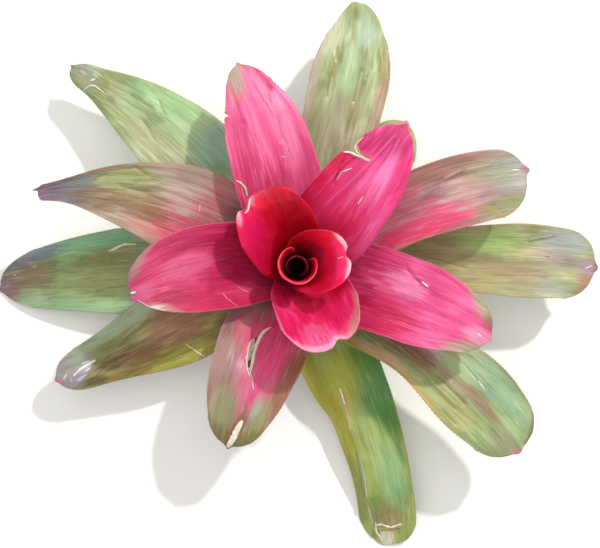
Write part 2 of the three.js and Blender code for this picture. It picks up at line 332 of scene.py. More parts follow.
# %% [markdown]
# ## Relief: flutes, buckles and creases
#
# A real blade isn't smooth. Its ribs make long shallow flutes, the sheet buckles between them,
# and its margins waver. Where it was once knocked, a crease stays: a dent of some depth along a
# line, or a pleat that stands up, whose depth is written as a number below zero. All of them are
# low, so they move the finished sheet along its own normals, by two and a half millimetres at
# most. They are halved at the margins, and fade out in the sheath, where the leaves lie close on
# one another. The waves are smooth noise, read at a different place for each leaf, and are the
# same at every run. The creases are placed one by one, from x and t at one end to x and t at the
# other, where they show in the real leaves.

# %% Relief
Wave = namedtuple("Wave", "height length across place_step first_place")
FLUTES = Wave(0.75, 105, 6.2, 7.3, 0)
BUCKLES = Wave(0.8, 34, 1.7, 3.1, 40)
WAVER = Wave(0.7, 16, 5.0, 5.7, 80)
WAVER_FADE, RELIEF_START = (0.88, 0.95), (48, 105)
HEART_RELIEF, MARGIN_CALM = 0.35, 0.5
Crease = namedtuple("Crease", "x0 t0 x1 t1 depth width")
CREASES = {
    6: [Crease(-0.75, 0.5, 0.1, 0.97, -0.6, 1.4), Crease(0.42, 0.48, 0.12, 0.94, -0.7, 1.3),
        Crease(0.25, 0.5, 0.12, 0.84, 0.7, 1.2), Crease(0.02, 0.5, 0.0, 0.9, -0.6, 1.2),
        Crease(-0.15, 0.5, -0.08, 0.84, 0.7, 1.2), Crease(-0.3, 0.52, -0.1, 0.93, -0.6, 1.4),
        Crease(0.74, 0.725, 0.57, 0.614, 0.9, 1.3), Crease(-0.17, 0.645, -0.18, 0.54, 0.6, 1.1)],
    7: [Crease(0.35, 0.45, 0.12, 0.98, 0.7, 1.8), Crease(-0.55, 0.5, -0.4, 0.8, 0.5, 2.2),
        Crease(-0.1, 0.62, -0.16, 0.74, 0.6, 1.4)],
    8: [Crease(-0.02, 0.4, 0.45, 0.86, -0.6, 1.4), Crease(-0.5, 0.5, -0.2, 0.95, -0.5, 2.0),
        Crease(0.65, 0.58, 0.47, 0.642, 1.2, 1.2), Crease(0.52, 0.658, 0.48, 0.683, -0.7, 1.0),
        Crease(0.3, 0.7, 0.36, 0.8, 0.7, 1.4)],
    9: [Crease(0.58, 0.832, 0.47, 0.746, 0.9, 1.3), Crease(0.47, 0.746, 0.54, 0.636, 0.8, 1.5),
        Crease(-0.66, 0.845, -0.4, 0.784, 0.8, 1.4), Crease(-0.47, 0.732, -0.32, 0.633, 0.8, 1.6),
        Crease(-0.25, 0.6, -0.21, 0.536, 0.9, 1.1), Crease(-0.74, 0.828, -0.67, 0.749, -0.7, 1.5),
        Crease(-0.15, 0.8, -0.4, 0.95, 0.6, 2.5)],
    10: [Crease(-0.7, 0.5, -0.6, 0.72, 0.7, 1.6), Crease(0.55, 0.5, 0.4, 0.74, 0.6, 1.8)],
    11: [Crease(0.57, 0.759, 0.47, 0.701, -1.0, 1.5), Crease(0.59, 0.861, 0.54, 0.775, -0.9, 1.7),
         Crease(0.38, 0.8, 0.36, 0.7, 0.7, 1.5), Crease(-0.05, 0.66, -0.45, 0.76, 0.4, 1.5),
         Crease(-0.6, 0.84, -0.85, 0.88, 0.6, 1.6)],
    12: [Crease(-0.3, 0.5, 0.2, 0.85, 0.7, 1.8), Crease(-0.65, 0.762, -0.48, 0.792, 0.9, 1.3),
         Crease(-0.86, 0.676, -0.64, 0.632, 1.0, 1.3), Crease(-0.28, 0.712, -0.05, 0.511, 0.8, 1.3),
         Crease(-0.5, 0.6, -0.4, 0.66, 0.8, 1.2)],
    13: [Crease(-0.27, 0.61, -0.29, 0.737, 1.1, 1.3), Crease(-0.8, 0.7, -0.8, 0.765, 0.9, 1.2),
         Crease(0.43, 0.642, 0.32, 0.71, 0.8, 1.1), Crease(-0.6, 0.62, -0.55, 0.72, 1.0, 1.3),
         Crease(-0.3, 0.4, -0.25, 0.58, -0.7, 1.8), Crease(-0.1, 0.6, 0.0, 0.74, 0.6, 1.4)],
    14: [Crease(0.5, 0.784, 0.34, 0.742, 1.0, 1.3), Crease(0.54, 0.687, 0.47, 0.606, 1.1, 1.3),
         Crease(-0.24, 0.727, -0.22, 0.609, 1.2, 1.2), Crease(-0.21, 0.572, -0.22, 0.467, 1.1, 1.3),
         Crease(-0.49, 0.744, -0.42, 0.704, 0.8, 1.4), Crease(0.41, 0.806, 0.09, 0.911, -0.8, 2.2),
         Crease(0.22, 0.7, 0.2, 0.56, 0.6, 1.6)],
    15: [Crease(-0.4, 0.54, -0.18, 0.685, 1.2, 1.8), Crease(0.27, 0.772, 0.74, 0.873, -0.9, 1.6),
         Crease(0.3, 0.5, 0.35, 0.7, 0.6, 2.0)],
    16: [Crease(0.51, 0.745, 0.69, 0.83, 1.1, 1.2), Crease(0.6, 0.76, 0.8, 0.8, -0.6, 1.5),
         Crease(0.13, 0.384, -0.26, 0.534, 1.0, 1.1), Crease(-0.5, 0.6, -0.45, 0.8, 0.5, 2.2)],
    17: [Crease(-0.6, 0.666, -0.34, 0.62, 1.1, 1.2), Crease(-0.28, 0.751, -0.27, 0.673, 0.9, 1.3),
         Crease(0.16, 0.668, 0.34, 0.591, 1.0, 1.2), Crease(0.4, 0.8, 0.5, 0.62, 0.5, 2.0)],
    18: [Crease(-0.25, 0.34, -0.38, 0.507, -1.1, 2.4), Crease(-0.38, 0.507, -0.35, 0.62, -1.3, 2.4),
         Crease(-0.35, 0.62, -0.52, 0.8, -1.2, 2.2), Crease(-0.52, 0.8, -0.3, 0.93, -1.0, 1.8)],
    20: [Crease(-0.3, 0.5, -0.1, 0.75, 0.6, 2.0), Crease(-0.6, 0.74, -0.64, 0.68, 0.7, 1.4),
         Crease(0.3, 0.6, 0.35, 0.8, 0.5, 2.2)],
}


def segment_distance(px, py, ax, ay, bx, by):
    """How far points are from a line segment in the plane."""
    dx, dy = bx - ax, by - ay
    share = np.clip(((px - ax) * dx + (py - ay) * dy) / (dx * dx + dy * dy), 0, 1)
    return np.hypot(px - ax - share * dx, py - ay - share * dy)


def noise_at(*coordinates):
    """Smooth noise from -1 to 1 at many places at once."""
    columns = np.broadcast_arrays(*coordinates)
    return np.array([noise.noise(Vector(place)) for place in zip(*(c.ravel() for c in columns))])


def wave_height(wave, number, along_mm, x):
    """One kind of wave; its last coordinate gives each leaf a place of its own in the noise."""
    return wave.height * noise_at(x * wave.across, along_mm / wave.length,
                                  number * wave.place_step + wave.first_place)


def relief(number, t, x):
    """How far the leaf's surface stands out of the plain sheet, in millimetres."""
    leaf = LEAVES[number - 1]
    across_mm, along_mm = x * half_width(leaf, t), t * leaf.length
    free = ramp(along_mm, *RELIEF_START)
    strength = HEART_RELIEF if number <= LAST_HEART else 1.0
    narrow = half_width(leaf, t) / leaf.widths[0]
    flutes, buckles = (wave_height(wave, number, along_mm, x) for wave in (FLUTES, BUCKLES))
    waver = wave_height(WAVER, number, along_mm, np.sign(x)) * np.abs(x) ** 5 * (1 - ramp(t, *WAVER_FADE))
    total = strength * narrow * (flutes + buckles + waver)
    for crease in CREASES.get(number, []):
        ends = [crease.x0 * half_width(leaf, crease.t0), crease.t0 * leaf.length,
                crease.x1 * half_width(leaf, crease.t1), crease.t1 * leaf.length]
        away = segment_distance(across_mm, along_mm, *ends)
        total = total - crease.depth * np.exp(-((away / crease.width) ** 2))
    return total * free * (1 - MARGIN_CALM * np.abs(x) ** 12)


print("relief in the middle of leaf 9:", relief(9, np.array([0.7]), np.array([0.1])).round(2), "mm")

# %% [markdown]
# ## Teeth
#
# Both margins of a neoregelia's leaf carry rows of small teeth that point to the tip.
# They could be loose cones, but real ones are part of the leaf's edge. So short edges of the
# margin are picked at even spacing and extruded, and the two new corners of each are merged in
# one point, out from the margin and a little forward.

# %% Teeth along a margin
TOOTH_SPACING, TOOTH_HEIGHT, TOOTH_LEAN, TOOTH_SHARE = 2.0, 0.5, 0.6, 0.18
FIRST_TOOTH, LAST_TOOTH = 0.4, 0.88
FRESH_LIMIT, SAME_POINT = 0.01, 0.01


def picked_edges(rim, along, dry):
    """The edges of the open rim that get a tooth: evenly spaced, and off the sheath, tip and tears."""
    picked, walked = [], 0.0
    for first, second in zip(rim, rim[1:]):
        walked += (second.co - first.co).length
        fresh = max(first[dry], second[dry]) < FRESH_LIMIT
        if walked > TOOTH_SPACING and fresh and FIRST_TOOTH < first[along] < LAST_TOOTH:
            picked.append(next(edge for edge in first.link_edges if second in edge.verts))
            walked = 0.0
    return picked


def add_teeth(bm, rim, along, dry, weights):
    """Grows the teeth: both new corners of an edge go to one point, and are then merged."""
    edges = picked_edges(rim, along, dry)
    inner = [edge.link_faces[0] for edge in edges]
    grown = bmesh.ops.extrude_edge_only(bm, edges=edges)["geom"]
    for edge, face in zip(edges, inner):
        low, high = sorted(edge.verts, key=lambda v: v[along])
        middle = (low.co + high.co) / 2
        forward = (high.co - low.co).normalized()
        outward = middle - face.calc_center_median()
        outward = (outward - forward * outward.dot(forward)).normalized()
        tooth = next(other for other in edge.link_faces if other != face)
        for v in tooth.verts:
            if v not in edge.verts:
                v.co = middle + TOOTH_HEIGHT * (outward + TOOTH_LEAN * forward)
                v[weights][0] = TOOTH_SHARE
    points = [v for v in grown if isinstance(v, bmesh.types.BMVert)]
    bmesh.ops.remove_doubles(bm, verts=points, dist=SAME_POINT)


print("teeth:", TOOTH_HEIGHT, "mm high, at least", TOOTH_SPACING, "mm apart")

# %% [markdown]
# ## Tears
#
# Three leaves are torn: one has a slit in its middle, one has lost a piece of its margin and
# one has a small nick. Each tear is an outline in plan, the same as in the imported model. It is
# drawn as a flat face, extruded into a tall block and taken out of the leaf with a Boolean
# modifier, because that keeps the wall of the cut clean. Round the cut the leaf stands up a
# little. The slit and the lost piece are old, so their edges have dried, and a value on the
# vertices tells the paint how dry they are. A leaf that isn't torn has one large distance all
# over instead.

# %% Tears
TEARS = {
    10: [(-27.6, -46.9), (-29.1, -48), (-30.6, -53), (-31.6, -57.9), (-29.6, -56.5), (-28.4, -51.5)],
    6: [(22, 71.5), (34, 66.2), (42.5, 62.9), (36.2, 67.2), (34.2, 70.6), (36.8, 75.5)],
    9: [(-49, 88), (-41.5, 91.3), (-49, 97)],
}
DRIED_TEARS = (6, 10)
TEAR_BLOCK_HEIGHT, NO_TEAR_NEAR = 200, 99.0


def tear_distance(number, points):
    """How far points are, in plan, from the outline of their leaf's tear."""
    outline = TEARS.get(number)
    if not outline:
        return np.full(len(points), NO_TEAR_NEAR)
    sides = zip(outline, outline[1:] + outline[:1])
    return np.min([segment_distance(points[:, 0], points[:, 1], *a, *b) for a, b in sides], axis=0)


def tear_block(number):
    """The block that is taken out of a torn leaf, in metres."""
    bm = bmesh.new()
    face = bm.faces.new([bm.verts.new((x, y, 0)) for x, y in TEARS[number]])
    tall = bmesh.ops.extrude_face_region(bm, geom=[face])["geom"]
    bmesh.ops.translate(bm, verts=[v for v in tall if isinstance(v, bmesh.types.BMVert)],
                        vec=(0, 0, TEAR_BLOCK_HEIGHT))
    bmesh.ops.scale(bm, vec=(MM, MM, MM), verts=bm.verts)
    bmesh.ops.recalc_face_normals(bm, faces=bm.faces)
    return add_object(f"tear_{number}", bm)


print("torn leaves:", sorted(TEARS), "with dried edges:", DRIED_TEARS)

# %% [markdown]
# ## One fine leaf
#
# A flat grid is the start: its first direction becomes the way across the leaf and its second
# one the way along. Its columns crowd towards the margins, the more so the nearer they come to
# the tip, where the outline is roundest. Its vertices are sent to the sheet and pushed out by the
# relief. For the paint they are given where they are across and along, what share of the way to
# the leaf's end they have reached, how dry they are, and their place in centimetres on the
# spread-out leaf. A Solidify modifier gives the leaf a body, thicker along the middle than at
# the margins, with one material above, one below and one on the rim. Then its modifiers are
# applied, so that the piece holds the finished mesh.

# %% Leaf maker
COLUMNS, ROWS, CROWDING = 60, 165, 0.6
MARGIN_SHARE, THINNED_BY = 0.42, 0.5
LIP_HEIGHT, LIP_WIDTH, LIP_FADE, DRY_WIDTH = 0.7, 1.6, (0.6, 0.9), 0.7
AT_EDGE, MM_IN_CM = 0.999, 10


def grid_places(bm, leaf):
    """The grid's own coordinates, and x across and t along the leaf at each of its vertices."""
    flat = np.array([v.co[:2] for v in bm.verts])
    even, up = flat[:, 0], (flat[:, 1] + 1) / 2
    x = mix(even, np.sin(even * math.pi / 2), CROWDING * up)
    return even, up, x, up * length_share(leaf, x)


def open_rim(bm, even, up):
    """The grid's vertices up one margin, round the tip and down the other one."""
    bm.verts.ensure_lookup_table()
    ids = np.arange(len(even))
    left = ids[even < -AT_EDGE][np.argsort(up[even < -AT_EDGE])]
    tip = ids[up > AT_EDGE][np.argsort(even[up > AT_EDGE])]
    right = ids[even > AT_EDGE][np.argsort(-up[even > AT_EDGE])]
    return [bm.verts[i] for i in (*left, *tip[1:-1], *right)]


def settle(piece):
    """Applies the piece's modifiers to its mesh."""
    bpy.context.view_layer.update()
    done = bpy.data.meshes.new_from_object(piece.evaluated_get(bpy.context.evaluated_depsgraph_get()))
    piece.modifiers.clear()
    piece.data = done


def make_leaf(number, materials):
    """One leaf as a finished piece, with its materials for the upper face, the underside and the rim."""
    index = number - 1
    leaf = LEAVES[index]
    bm = bmesh.new()
    bmesh.ops.create_grid(bm, x_segments=COLUMNS, y_segments=ROWS, size=1)
    even, up, x, t = grid_places(bm, leaf)
    points = sheet_point(index, t, x)
    torn = tear_distance(number, points)
    layers = bm.verts.layers
    across, along, reach, dry = (layers.float.new(name) for name in ("across", "along", "reach", "dry"))
    spread = layers.float_vector.new("spread")
    spread_x, spread_y = x * half_width(leaf, t) / MM_IN_CM, t * leaf.length / MM_IN_CM
    for v, place in zip(bm.verts, points):
        v.co = place
    bmesh.ops.reverse_faces(bm, faces=bm.faces)
    bm.normal_update()
    inside = 1 - ramp(np.abs(x), *LIP_FADE)
    height = relief(number, t, x) + LIP_HEIGHT * inside * np.exp(-((torn / LIP_WIDTH) ** 2))
    dryness = (number in DRIED_TEARS) * (1 - ramp(torn, 0.5 * DRY_WIDTH, 1.5 * DRY_WIDTH))
    weights = layers.deform.verify()
    in_middle = mix(1, BLADE_THICKNESS / SHEATH_THICKNESS, ramp(t, 0, THINNED_BY))
    thickness = mix(in_middle, MARGIN_SHARE, x * x)
    for i, v in enumerate(bm.verts):
        v.co += v.normal * height[i]
        v[across], v[along], v[reach], v[dry] = x[i], t[i], up[i], dryness[i]
        v[spread] = (spread_x[i], spread_y[i], number)
        v[weights][0] = thickness[i]
    add_teeth(bm, open_rim(bm, even, up), along, dry, weights)
    bmesh.ops.scale(bm, vec=(MM, MM, MM), verts=bm.verts)
    for face in bm.faces:
        face.smooth = True
    piece = add_object(f"blade_{number:02d}", bm)
    for material in materials:
        piece.data.materials.append(material)
    piece.vertex_groups.new(name="thickness")
    body = piece.modifiers.new("body", "SOLIDIFY")
    body.thickness, body.offset = SHEATH_THICKNESS * MM, 0
    body.vertex_group = "thickness"
    body.material_offset, body.material_offset_rim = 1, 2
    if number in TEARS:
        block = tear_block(number)
        cut = piece.modifiers.new("tear", "BOOLEAN")
        cut.operation, cut.solver, cut.object = "DIFFERENCE", "EXACT", block
    settle(piece)
    if number in TEARS:
        bpy.data.objects.remove(block)
    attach(piece, "root")
    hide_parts(f"leaf_{number:02d}")
    return piece


print("grid of a leaf:", COLUMNS, "by", ROWS)

# %% [markdown]
# ## Paint: washes, streaks and scratches
#
# A leaf's colour isn't one pattern. It is laid on as a painter would do it: a ground colour with
# paler and darker clouds, a few soft washes where the leaf is greener, paler or browner, with
# some painted shadows and highlights among them, flecks and long streaks that run with the ribs,
# then the colour of the margin, specks, scratches, and lines of painted shade and highlight
# along the dents and ridges.
# All of it is placed by the values on the vertices, so it follows the leaf wherever that bends.
# Two small node groups do the repeated work: one gives the mask of a wash, the other that of a
# line mark, which serves for the scratches and for the lines of painted shade and highlight. A
# wash is an oval whose edge is frayed along the ribs. A line mark is a line between two places
# that wavers a little and is narrower at both ends.

# %% Node groups for a wash and a scratch
WASH_OUTSIDE, WASH_INSIDE = 1.25, 0.55
WOBBLE_SCALE, WOBBLE_SIZE = 7.0, 0.09
SCRATCH_OUTSIDE, SCRATCH_END_WIDTH, SCRATCH_SWELL = 1.2, 0.7, 1.2


def new_group(name, inputs):
    """A node group of numbers and vectors that gives one mask."""
    group = bpy.data.node_groups.new(name, "ShaderNodeTree")
    for label, kind in inputs:
        group.interface.new_socket(name=label, in_out="INPUT", socket_type=kind)
    group.interface.new_socket(name="Mask", in_out="OUTPUT", socket_type="NodeSocketFloat")
    return group, add_node(group, "NodeGroupInput").outputs, add_node(group, "NodeGroupOutput").inputs


def maths(tree, operation, first, second=0.0, third=0.0):
    made = add_node(tree, "ShaderNodeMath", {0: first, 1: second, 2: third}, operation=operation)
    return made.outputs[0]


def vector_maths(tree, operation, first, second=(0, 0, 0), output=0):
    made = add_node(tree, "ShaderNodeVectorMath", {0: first, 1: second}, operation=operation)
    return made.outputs[output]


def step_between(tree, value, low, high, start=0.0, end=1.0):
    """A smooth way from start to end while the value goes from low to high."""
    inputs = {"Value": value, "From Min": low, "From Max": high, "To Min": start, "To Max": end}
    return add_node(tree, "ShaderNodeMapRange", inputs, interpolation_type="SMOOTHSTEP").outputs[0]


def make_wash_group():
    """The mask of a wash: 1 in its middle, 0 outside, and frayed by the streaks in between."""
    floats = ("Across", "Along", "Streak", "X", "T", "Wide", "Long", "Fray")
    group, given, result = new_group("wash", [(name, "NodeSocketFloat") for name in floats])
    frayed = maths(group, "MULTIPLY", maths(group, "SUBTRACT", given["Streak"], 0.5), given["Fray"])
    sideways = maths(group, "DIVIDE", maths(group, "SUBTRACT", given["Across"], given["X"]), given["Wide"])
    endways = maths(group, "DIVIDE", maths(group, "SUBTRACT", given["Along"], given["T"]), given["Long"])
    squares = maths(group, "MULTIPLY_ADD", sideways, sideways, maths(group, "MULTIPLY", endways, endways))
    radius = maths(group, "ADD", maths(group, "SQRT", squares), frayed)
    group.links.new(step_between(group, radius, WASH_OUTSIDE, WASH_INSIDE), result["Mask"])
    return group


def make_scratch_and_painted_light_group():
    """The mask of a line mark, for scratches and for lines of painted shade and highlight, from how far a
    place is from the line between its two ends.
    """
    kinds = [("Place", "NodeSocketVector"), ("From", "NodeSocketVector"), ("To", "NodeSocketVector"),
             ("Width", "NodeSocketFloat"), ("Core", "NodeSocketFloat")]
    group, given, result = new_group("scratch", kinds)
    cloudy = add_node(group, "ShaderNodeTexNoise", {"Vector": given["Place"], "Scale": WOBBLE_SCALE})
    wobble = vector_maths(group, "SUBTRACT", cloudy.outputs["Color"], (0.5, 0.5, 0.5))
    shift = vector_maths(group, "MULTIPLY", wobble, (WOBBLE_SIZE, WOBBLE_SIZE, 0))
    line = vector_maths(group, "SUBTRACT", given["To"], given["From"])
    offset = vector_maths(group, "SUBTRACT", vector_maths(group, "ADD", given["Place"], shift), given["From"])
    along = maths(group, "DIVIDE", vector_maths(group, "DOT_PRODUCT", offset, line, "Value"),
                  vector_maths(group, "DOT_PRODUCT", line, line, "Value"))
    along = add_node(group, "ShaderNodeClamp", {"Value": along}).outputs[0]
    nearest = add_node(group, "ShaderNodeVectorMath", {0: line, "Scale": along}, operation="SCALE").outputs[0]
    away = vector_maths(group, "LENGTH", vector_maths(group, "SUBTRACT", offset, nearest), output="Value")
    taper = maths(group, "MULTIPLY", maths(group, "SUBTRACT", 1.0, along), along)
    swell = maths(group, "MULTIPLY_ADD", taper, SCRATCH_SWELL, SCRATCH_END_WIDTH)
    share = maths(group, "DIVIDE", away, maths(group, "MULTIPLY", given["Width"], swell))
    group.links.new(step_between(group, share, SCRATCH_OUTSIDE, given["Core"]), result["Mask"])
    return group


WASH, SCRATCH_AND_PAINTED_LIGHT = make_wash_group(), make_scratch_and_painted_light_group()
print("groups:", WASH.name, SCRATCH_AND_PAINTED_LIGHT.name)

# %% [markdown]
# ## How the heart is coloured
#
# The tables below are the painter's notes on every leaf: its ground colour, the lighter and the
# darker colour of its clouds, flecks and streaks, the colours of its margin and underside, and
# how strong the streaks are, and the mottle of clouds and flecks. Then come its washes, each
# with the x and t of its middle, half its width as x and half its length as t, a colour, a
# strength and how far its edge is frayed. A wash at a t of 1 sits along the end of the leaf.
# Some washes are painted shadows and highlights, as the notes above the leaves say. Last come
# its scratches and blemishes, and its lines of painted shade in dents and painted highlight on
# ridges, all of which run from one place on the leaf to another. Half their width is given in
# centimetres, from a fifth of a millimetre to nearly three. Some have a darker edge, and the
# lower the core, the softer and fainter they are.
#
# The five leaves of the heart are crimson and nearly plain, the innermost the darkest, partly as
# painted shade deep in the tube. They have paler marks at their very tips: painted highlights on
# the curled lobes of leaves 3 and 4, and a pale ragged margin on leaf 5.

# %% Looks of the heart leaves
Wash = namedtuple("Wash", "x t wide long colour strength fray", defaults=(0.35,))
Scratch = namedtuple("Scratch", "x0 t0 x1 t1 width colour edge core", defaults=(None, 0.6))
Look = namedtuple("Look", "ground light dark margin under streaks mottle washes scratches",
                  defaults=((), ()))

HEART_UNDER = "B8405A"
BLURRED, MILKY, SOFT, FAINT = 0, -0.2, -0.8, -2
HEART_LOOKS = {
    # Leaf 1 stands deep in the tube: its dark colours and the dark band along its end are partly its own dark
    # red and partly painted shade.
    1: Look("741024", "96203A", "3C0610", "400810", HEART_UNDER, 0.3, 0.3, [
        Wash(0, 1, 1.4, 0.03, "4A1420", 0.6, 0.1)]),
    2: Look("F0153C", "FF3166", "B10C28", "D04C5E", HEART_UNDER, 0.3, 0.3, [
        Wash(0, 0.5, 1.2, 0.3, "AC0A21", 0.7), Wash(0, 1, 1.6, 0.05, "FF6A89", 0.85, 0.1)]),
    # The pale bands on the two lobes at the end of leaf 3 are painted highlights where its tip bends down.
    3: Look("FE1D56", "FF4689", "D10E34", "B8183A", HEART_UNDER, 0.35, 0.4, [
        Wash(0.9, 0.7, 0.6, 0.6, "E81128", 0.8), Wash(-0.2, 0.95, 0.5, 0.12, "FF3284", 0.6),
        Wash(0.25, 0.62, 0.3, 0.12, "A23A6A", 0.5), Wash(-0.34, 1, 0.28, 0.026, "EEC8D0", 0.9, 0.1),
        Wash(0.36, 1, 0.26, 0.03, "EEC8D0", 0.9, 0.1)], [
        Scratch(-0.04, 0.9, -0.03, 0.95, 0.02, "F8D8E0"),
        Scratch(-0.26, 0.955, -0.5, 0.94, 0.045, "C8607C", core=SOFT)]),
    # In leaf 4 the pale pink wash on its lobe and the pale brownish wash at its end are painted highlights.
    4: Look("DF1241", "F0356B", "B60A27", "98122A", HEART_UNDER, 0.35, 0.4, [
        Wash(-0.4, 0.7, 0.7, 0.5, "D30C25", 0.8), Wash(0.6, 0.8, 0.4, 0.3, "E3195A", 0.7),
        Wash(0.0, 1, 0.42, 0.05, "A82850", 0.4, 0.7), Wash(0.66, 1, 0.12, 0.05, "F8C8DA", 0.8, 0.2),
        Wash(0.6, 0.72, 0.45, 0.3, "E0206A", 0.55, 0.6), Wash(-0.55, 0.62, 0.5, 0.34, "A4061C", 0.6, 0.5),
        Wash(0.3, 0.985, 0.24, 0.04, "C4808A", 0.75, 0.8)], [
        Scratch(0.3, 0.985, 0.3, 0.9, 0.045, "8A1024", core=SOFT)]),
    5: Look("E5276B", "FC63A6", "B91846", "DC6C90", HEART_UNDER, 0.45, 0.5, [
        Wash(0.3, 0.5, 0.9, 0.25, "DD184D", 0.7), Wash(-0.2, 1, 0.9, 0.035, "F4B4CC", 0.95, 0.3),
        Wash(-0.2, 1, 0.7, 0.08, "F0709C", 0.5, 0.8), Wash(-1, 0.8, 0.06, 0.16, "F09ABC", 0.6, 0.2),
        Wash(0.66, 1, 0.36, 0.07, "B88878", 0.7, 0.15), Wash(0.95, 0.86, 0.15, 0.08, "B2A586", 0.5, 0.5),
        Wash(-0.3, 0.85, 0.3, 0.08, "FF91C8", 0.35, 0.8)], [
        Scratch(-0.2, 0.735, -0.12, 0.752, 0.025, "C8A080", "6A1C2C"),
        Scratch(0.05, 0.94, 0.12, 0.975, 0.03, "FAD8E0", "B04060"),
        Scratch(-0.3, 0.86, -0.25, 0.95, 0.1, "F4A0C0", core=FAINT),
        Scratch(-0.1, 0.88, -0.05, 0.96, 0.09, "F4A8C8", core=FAINT)]),
}
print("looks of the heart leaves:", list(HEART_LOOKS))
